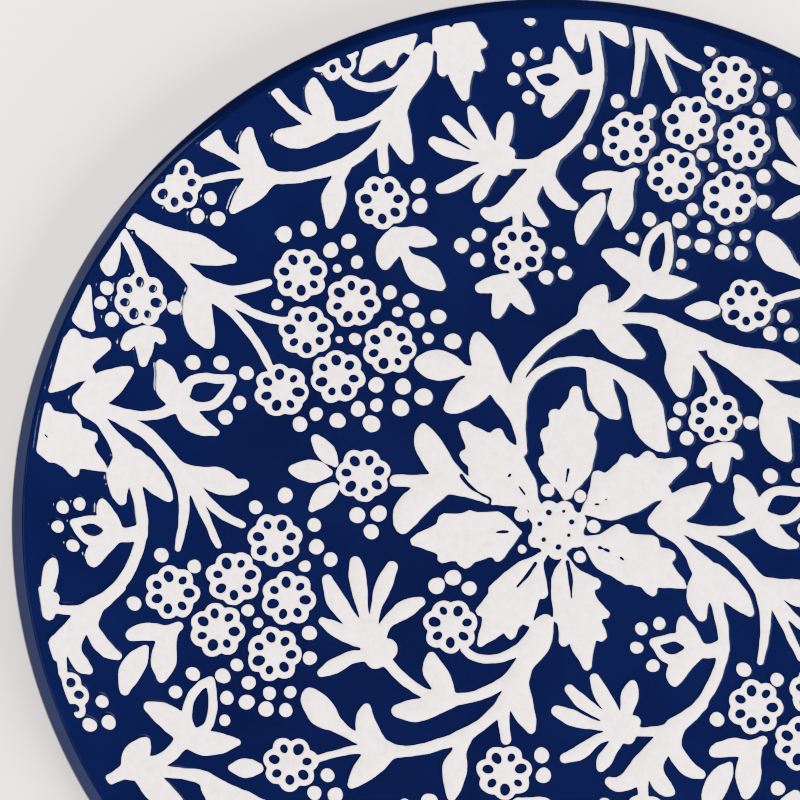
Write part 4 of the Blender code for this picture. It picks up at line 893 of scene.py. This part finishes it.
def pinched_top(top, rings, field):
    """Top of a motif whose rim crosses itself: keeps the triangles that lie on the decoration."""
    flat = [Vector(point) for point in top]
    edges = [pair for ring in rings for pair in zip(ring, ring[1:] + ring[:1])]
    points, _, triangles, origin, _, _ = delaunay_2d_cdt(flat, edges, [], 0, 1e-6)
    places = np.array([(point.x, point.y) for point in points])
    middles = np.array([places[list(triangle)].mean(0) for triangle in triangles])
    deep = field.sample(field.value, middles) < 0.6 * SLIP_EDGE[-1][0] * PINCHED_INSET
    kept = [triangle for triangle, inside in zip(triangles, deep) if inside]
    return points, kept, origin


def level_top(boundary, normal, rings, field, fill_points):
    """Corners, triangles and source corners of the top, and the share of the full inset it kept."""
    for inset in (1.0, 0.5, PINCHED_INSET):
        top = boundary + normal * SLIP_EDGE[-1][0] * inset
        points, triangles, area, origin = top_faces(top, rings, fill_points)
        if area > 0.98 * sum(signed_area(top[ring]) for ring in rings):
            return points, triangles, origin, inset
    points, triangles, origin = pinched_top(top, rings, field)
    return points, triangles, origin, inset


def edge_rows(boundary, normal, pits_start, inset):
    """Rows of corners from the glaze up to the top, and how strongly the painted reflection shows at each
    place.
    """
    pool = pooling(boundary, normal)
    sheen = painted_sheen_share(boundary, normal)
    reach = np.ones(len(boundary))
    reach[pits_start:] = PIT_BEAD
    sheen[pits_start:] *= PIT_SHEEN
    rows = []
    for out, height in GLAZE_BEAD:
        width = NARROWEST_BEAD + reach * pool + SHEEN_WIDTH * sheen
        spread = normal * (out * width)[:, None]
        level = BEAD_FLOOR + (height - BEAD_FLOOR) * pool
        if out < GLAZE_BEAD[0][0]:
            # Faces that carry the painted reflection stand just above the glaze.
            level = np.where(sheen > FAINTEST_SHEEN, np.maximum(level, SHEEN_HEIGHT), level)
        rows.append(np.column_stack((boundary + spread, level)))
    for out, height in SLIP_EDGE:
        rows.append(np.column_stack((boundary + normal * out * inset, np.full(len(boundary), height))))
    return rows, sheen


def level_faces(points, triangles, origin, count):
    """Faces of the top and of the hidden bottom, their materials, and the corners inside the rim."""
    row_count = len(GLAZE_BEAD) + len(SLIP_EDGE)
    base_top = count * (row_count - 1)
    known = {}
    added = []

    def top_corner(number):
        """Vertex of the top for a corner of the triangulation."""
        given = origin[number]
        if given and given[0] < count:
            return base_top + given[0]
        if number not in known:
            known[number] = len(added)
            added.append(points[number])
        return count * row_count + 2 * known[number]

    faces = []
    kinds = []
    for triangle in triangles:
        top = [top_corner(number) for number in triangle]
        if len(set(top)) < 3:
            continue
        faces.append(top)
        kinds.append(SLIP)
        bottom = [corner - base_top if corner < base_top + count else corner + 1 for corner in reversed(top)]
        faces.append(bottom)
        kinds.append(COBALT)
    return faces, kinds, added


def side_faces(rings, sheen, count):
    """Faces between the rows of corners, with their materials."""
    faces = []
    kinds = []
    for ring in rings:
        this = np.array(ring)
        following = np.roll(this, -1)
        for level in range(len(GLAZE_BEAD) + len(SLIP_EDGE) - 1):
            lower = level * count
            upper = lower + count
            strip = np.column_stack((this + lower, following + lower, following + upper, this + upper))
            faces.extend(strip.tolist())
            if level < len(GLAZE_BEAD):
                # Bead faces where the painted reflection shows take its slate-blue material.
                sheened = np.minimum(sheen[this], sheen[following]) > FAINTEST_SHEEN
                kinds.extend(np.where(sheened, PAINTED_SHEEN, COBALT).tolist())
            else:
                kinds.extend([SLIP] * len(this))
    return faces, kinds


def raised_body(motif, field, slopes, fill_points):
    """Vertices (x, y, height) and faces with material numbers of one motif's closed body."""
    outer, holes = motif
    loops = [outer] + holes
    boundary = np.vstack(loops)
    count = len(boundary)
    starts = np.cumsum([0] + [len(loop) for loop in loops])
    rings = [list(range(start, stop)) for start, stop in zip(starts, starts[1:])]
    normal = np.column_stack([field.sample(grid, boundary) for grid in slopes])
    normal /= np.maximum(np.hypot(normal[:, 0], normal[:, 1]), 1e-6)[:, None]
    points, triangles, origin, inset = level_top(boundary, normal, rings, field, fill_points)
    vertices, sheen = edge_rows(boundary, normal, len(outer), inset)
    faces, kinds, added = level_faces(points, triangles, origin, count)
    more_faces, more_kinds = side_faces(rings, sheen, count)
    if added:
        place = np.array([(point.x, point.y) for point in added])
        pair = np.repeat(np.column_stack((place, np.full(len(place), SLIP_EDGE[-1][1]))), 2, axis=0)
        pair[1::2, 2] = 2 * BEAD_FLOOR
        vertices.append(pair)
    return np.vstack(vertices), faces + more_faces, kinds + more_kinds


def raised_piece(name, chosen, field, slopes, fill_points, surfaces):
    """One object that holds several motifs' bodies."""
    vertices = []
    faces = []
    kinds = []
    offset = 0
    for motif in chosen:
        place, own, kind = raised_body(motif, field, slopes, fill_points)
        vertices.append(onto_plate(place))
        faces.extend([[corner + offset for corner in face] for face in own])
        kinds.extend(kind)
        offset += len(place)
    mesh = bpy.data.meshes.new(name)
    mesh.from_pydata(np.vstack(vertices).tolist(), [], faces)
    for surface in surfaces:
        mesh.materials.append(surface)
    mesh.polygons.foreach_set("material_index", np.array(kinds, np.int32))
    mesh.shade_smooth()
    made = bpy.data.objects.new(name, mesh)
    bpy.context.scene.collection.objects.link(made)
    print(name, len(chosen), "motifs", len(faces), "faces")
    return made


# ---------------------------------------------------------------- materials

def new_material(name):
    """A material, its nodes, its links and its shader."""
    made = bpy.data.materials.new(name)
    made.use_nodes = True
    nodes = made.node_tree.nodes
    return made, nodes, made.node_tree.links, nodes["Principled BSDF"]


def noise(nodes, links, scale, detail, roughness=0.5):
    """Noise over the plate's own coordinates; the scale counts features per metre."""
    coordinates = nodes.new("ShaderNodeTexCoord")
    texture = nodes.new("ShaderNodeTexNoise")
    texture.inputs["Scale"].default_value = scale
    texture.inputs["Detail"].default_value = detail
    texture.inputs["Roughness"].default_value = roughness
    links.new(coordinates.outputs["Object"], texture.inputs["Vector"])
    return texture.outputs["Fac"]


def ramp(nodes, links, factor, stops):
    """Colour ramp over (position, colour) stops."""
    made = nodes.new("ShaderNodeValToRGB")
    elements = made.color_ramp.elements
    while len(elements) < len(stops):
        elements.new(0.5)
    for element, (position, colour) in zip(elements, stops):
        element.position = position
        element.color = (*colour, 1.0)
    links.new(factor, made.inputs["Fac"])
    return made.outputs["Color"]


def bump(nodes, links, height, distance, strength, before=None):
    """Small relief from a height, in metres, on top of another one if there is one before it."""
    made = nodes.new("ShaderNodeBump")
    made.inputs["Distance"].default_value = distance
    made.inputs["Strength"].default_value = strength
    links.new(height, made.inputs["Height"])
    if before:
        links.new(before, made.inputs["Normal"])
    return made.outputs["Normal"]


def dull_ring(nodes, links):
    """Specular level that drops where the glaze has run thin on the crest of the rim."""
    coordinates = nodes.new("ShaderNodeTexCoord")
    flat = nodes.new("ShaderNodeVectorMath")
    flat.operation = "MULTIPLY"
    flat.inputs[1].default_value = (1.0, 1.0, 0.0)
    distance = nodes.new("ShaderNodeVectorMath")
    distance.operation = "LENGTH"
    ring = nodes.new("ShaderNodeMath")
    ring.operation = "COMPARE"
    ring.inputs[1].default_value = CREST_RADIUS * MM
    ring.inputs[2].default_value = CREST_HALF_WIDTH * MM
    level = nodes.new("ShaderNodeMath")
    level.operation = "MULTIPLY_ADD"
    level.inputs[1].default_value = CREST_SPECULAR - GLAZE_SPECULAR
    level.inputs[2].default_value = GLAZE_SPECULAR
    links.new(coordinates.outputs["Object"], flat.inputs[0])
    links.new(flat.outputs["Vector"], distance.inputs[0])
    links.new(distance.outputs["Value"], ring.inputs[0])
    links.new(ring.outputs["Value"], level.inputs[0])
    return level.outputs["Value"]


def glaze_material(name):
    """Deep cobalt glaze: glossy, a little uneven, with cloudy depth."""
    made, nodes, links, shader = new_material(name)
    cloud = noise(nodes, links, 38.0, 5.0, 0.55)
    links.new(ramp(nodes, links, cloud, [
        (0.30, (0.0012, 0.0016, 0.0162)), (0.55, (0.0014, 0.0020, 0.0188)), (0.75, (0.0018, 0.0026, 0.0220)),
    ]), shader.inputs["Base Color"])
    shader.inputs["Roughness"].default_value = 0.06
    shader.inputs["IOR"].default_value = 1.5
    links.new(dull_ring(nodes, links), shader.inputs["Specular IOR Level"])
    ripple = bump(nodes, links, noise(nodes, links, 160.0, 2.0), 0.00006, 0.35)
    fine = bump(nodes, links, noise(nodes, links, 1400.0, 2.0), 0.00001, 0.3, ripple)
    links.new(fine, shader.inputs["Normal"])
    return made


def painted_sheen_material(name):
    """Painted reflection: slate-blue colour on the bead of glaze beside the motifs' right-hand edges,
    standing in for a light mirrored there; as glossy as the glaze.
    """
    made, nodes, links, shader = new_material(name)
    cloud = noise(nodes, links, 700.0, 4.0, 0.6)
    links.new(ramp(nodes, links, cloud, [
        (0.30, (0.0045, 0.0065, 0.0220)), (0.55, (0.0080, 0.0110, 0.0280)), (0.75, (0.0120, 0.0160, 0.0350)),
    ]), shader.inputs["Base Color"])
    shader.inputs["Roughness"].default_value = 0.12
    return made


def slip_material(name):
    """Off-white trailed slip: satin, with fine grain and faint mottling."""
    made, nodes, links, shader = new_material(name)
    mottle = noise(nodes, links, 520.0, 8.0, 0.85)
    links.new(ramp(nodes, links, mottle, [
        (0.32, (0.560, 0.470, 0.450)), (0.5, (0.800, 0.710, 0.685)), (0.7, (0.940, 0.880, 0.860)),
    ]), shader.inputs["Base Color"])
    shader.inputs["Roughness"].default_value = 0.5
    swell = bump(nodes, links, noise(nodes, links, 330.0, 3.0), 0.0001, 0.4)
    grain = bump(nodes, links, noise(nodes, links, 1900.0, 4.0, 0.7), 0.00009, 0.7, swell)
    links.new(grain, shader.inputs["Normal"])
    return made


def clay_material(name):
    """Bare fired clay of the foot ring."""
    made, nodes, links, shader = new_material(name)
    speckle = noise(nodes, links, 900.0, 6.0, 0.7)
    links.new(ramp(nodes, links, speckle, [
        (0.30, (0.40, 0.29, 0.20)), (0.55, (0.60, 0.47, 0.35)), (0.8, (0.68, 0.57, 0.45)),
    ]), shader.inputs["Base Color"])
    shader.inputs["Roughness"].default_value = 0.85
    links.new(bump(nodes, links, speckle, 0.0002, 0.6), shader.inputs["Normal"])
    return made


def floor_material():
    """Matt, almost white, faintly pink floor."""
    made, nodes, links, shader = new_material("pale_floor")
    cloud = noise(nodes, links, 3.0, 2.0)
    links.new(ramp(nodes, links, cloud, [
        (0.35, (0.92, 0.85, 0.83)), (0.65, (0.96, 0.92, 0.905)),
    ]), shader.inputs["Base Color"])
    shader.inputs["Roughness"].default_value = 0.75
    return made


# ---------------------------------------------------------------- stage

def add_floor():
    """Wide level floor just under the foot."""
    mesh = bpy.data.meshes.new("floor")
    half = 4.0
    corners = [(-half, -half, 0), (half, -half, 0), (half, half, 0), (-half, half, 0)]
    mesh.from_pydata(corners, [], [(0, 1, 2, 3)])
    mesh.materials.append(floor_material())
    floor = bpy.data.objects.new("floor", mesh)
    floor.location.z = -0.0002
    bpy.context.scene.collection.objects.link(floor)


def add_camera():
    """Long lens from above the plate's front edge, looking past its left half."""
    camera = bpy.data.cameras.new("camera")
    camera.sensor_width = 36.0
    camera.lens = CAMERA_LENS
    camera.clip_end = 20.0
    made = bpy.data.objects.new("camera", camera)
    bpy.context.scene.collection.objects.link(made)
    lean = Matrix.Rotation(CAMERA_TURN[0], 4, "X") @ Matrix.Rotation(CAMERA_TURN[1], 4, "Y")
    place = Vector((CAMERA_PLACE[0], CAMERA_PLACE[1], CAMERA_PLACE[2] + FLOOR_HEIGHT))
    made.matrix_world = Matrix.Translation(place * MM) @ lean
    bpy.context.scene.camera = made


def add_panel(name, azimuth, elevation, distance, width, height, power, colour):
    """Soft rectangular light that faces the plate."""
    light = bpy.data.lights.new(name, "AREA")
    light.shape = "RECTANGLE"
    light.size = width
    light.size_y = height
    light.energy = power
    light.color = colour
    made = bpy.data.objects.new(name, light)
    bpy.context.scene.collection.objects.link(made)
    turn, rise = math.radians(azimuth), math.radians(elevation)
    made.location = distance * Vector((
        math.cos(turn) * math.cos(rise), math.sin(turn) * math.cos(rise), math.sin(rise)))
    made.rotation_euler = (-made.location).to_track_quat("-Z", "Y").to_euler()
    made.visible_camera = False
    return made


def add_light():
    """Two soft lamps that the glaze doesn't mirror, and two panels at the left that it only mirrors."""
    world = bpy.data.worlds.new("studio")
    world.use_nodes = True
    world.node_tree.nodes["Background"].inputs["Color"].default_value = (0.95, 0.97, 1.0, 1.0)
    world.node_tree.nodes["Background"].inputs["Strength"].default_value = 0.05
    bpy.context.scene.world = world
    overhead = add_panel("overhead", 165.0, 74.0, 1.35, 1.1, 1.1, 50.0, (1.0, 0.90, 0.88))
    overhead.visible_glossy = False
    key = add_panel("key", -38.0, 38.0, 1.6, 1.2, 1.2, 150.0, (1.0, 0.975, 0.96))
    key.visible_glossy = False
    wall = add_panel("left_wall", 184.0, 38.0, 2.0, 5.2, 1.9, 48.0, (0.66, 0.76, 1.0))
    wall.visible_diffuse = False
    window = add_panel("left_window", 165.0, 64.0, 2.0, 0.7, 0.45, 60.0, (1.0, 1.0, 1.0))
    window.visible_diffuse = False


# ---------------------------------------------------------------- the whole object

def add_glaze_coat(cobalt):
    """Glaze over the well, wall, lip and outside, down to the foot."""
    skin = np.vstack((face_and_lip(0.0), underside(0.0, FOOT_GLAZE_LINE)))
    back = np.vstack((face_and_lip(GLAZE_THICKNESS), underside(GLAZE_THICKNESS, FOOT_GLAZE_LINE)))
    glaze = turned("glaze_coat", np.vstack((skin, back[::-1])))
    glaze.data.materials.append(cobalt)
    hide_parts("cobalt_glaze")
    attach(glaze, "root")


def add_clay_body():
    """Clay under the glaze, bare on the foot ring."""
    body_depth = GLAZE_THICKNESS + BODY_CLEARANCE
    shell = np.vstack((face_and_lip(body_depth), underside(body_depth, FOOT_GLAZE_LINE)))
    foot = np.array([
        (FOOT_OUTER + 0.6, RECESS_HEIGHT + 0.4), (FOOT_OUTER + 0.1, RECESS_HEIGHT),
        (FOOT_OUTER, FOOT_CHAMFER_HEIGHT), (FOOT_OUTER - 0.4, 0.5), (FOOT_LAND_OUTER + 0.5, 0.1),
        (FOOT_LAND_OUTER, 0.0), (FOOT_LAND_INNER, 0.0), (FOOT_LAND_INNER - 0.5, 0.1),
        (FOOT_INNER + 0.4, 0.5), (FOOT_INNER, FOOT_CHAMFER_HEIGHT), (FOOT_INNER, RECESS_HEIGHT + 0.4),
        (0.0, RECESS_HEIGHT + 0.4),
    ])
    clay_body = turned("clay_body", np.vstack((shell, foot)))
    clay_body.data.materials.append(clay_material("fired_clay"))
    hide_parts("plate_body")
    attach(clay_body, "root")


def add_foot_glaze(cobalt):
    """Glaze disc inside the foot ring."""
    disc = turned("foot_glaze", [
        (0.0, RECESS_HEIGHT + 0.3), (FOOT_INNER - 1.0, RECESS_HEIGHT + 0.3),
        (FOOT_INNER - 1.0, RECESS_HEIGHT),
        (FOOT_INNER - 1.4, RECESS_HEIGHT - 0.1), (FOOT_INNER - 2.2, RECESS_HEIGHT), (0.0, RECESS_HEIGHT),
    ])
    disc.data.materials.append(cobalt)
    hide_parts("underside_glaze")
    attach(disc, "root")


def sorted_motifs(field):
    """Motifs by kind. A flower is told by three places on it: its disc and two of its leaves."""
    groups = {"dots": [], "rosettes": [], "vines": [], "flowers": []}
    marks = [move + mark for move in repeats((-7, -7), (7, 7)) for mark in FLOWER_MARKS]
    for motif in motifs(field):
        area = signed_area(motif[0])
        if area < LARGEST_DOT:
            groups["dots"].append(motif)
        elif any(contains(motif[0], mark) for mark in marks):
            groups["flowers"].append(motif)
        elif len(motif[1]) >= FEWEST_PITS and area < LARGEST_ROSETTE:
            groups["rosettes"].append(motif)
        else:
            groups["vines"].append(motif)
    return groups


def add_relief(nodes, surfaces):
    """The whole decoration in four pieces, each in place of the CAD's motifs of its kind."""
    field = decoration_field()
    slopes = np.gradient(field.value, GRID_STEP)[::-1]
    steps = np.arange(-GRID_REACH, GRID_REACH, FILL_STEP)
    fill = np.array([(x + 0.5 * FILL_STEP * (line % 2), y) for line, y in enumerate(steps) for x in steps])
    fill = fill[field.sample(field.value, fill) < -1.0]
    groups = sorted_motifs(field)
    starts = {"dots": ("dot_",), "rosettes": ("rosette_0", "rosette_1"), "flowers": ("flower_",)}
    taken = {"plate_body", "cobalt_glaze", "underside_glaze"}
    for group in ("dots", "rosettes", "flowers", "vines"):
        piece = raised_piece("relief_" + group, groups[group], field, slopes, fill, surfaces)
        own = [n for n in nodes if n not in taken and (group == "vines" or n.startswith(starts[group]))]
        taken.update(own)
        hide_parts(*own)
        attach(piece, "root")


def main():
    """Build every piece in place of its CAD node, and then the stage."""
    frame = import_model()
    cobalt = glaze_material("cobalt_glaze")
    slip = slip_material("white_slip")
    # Slate-blue material that paints a reflection beside the motifs' right-hand edges.
    sheen = painted_sheen_material("painted_reflection_glaze")
    add_glaze_coat(cobalt)
    add_clay_body()
    add_foot_glaze(cobalt)
    add_relief(sorted(frame["nodes"]), [slip, cobalt, sheen])
    add_floor()
    add_camera()
    add_light()


main()
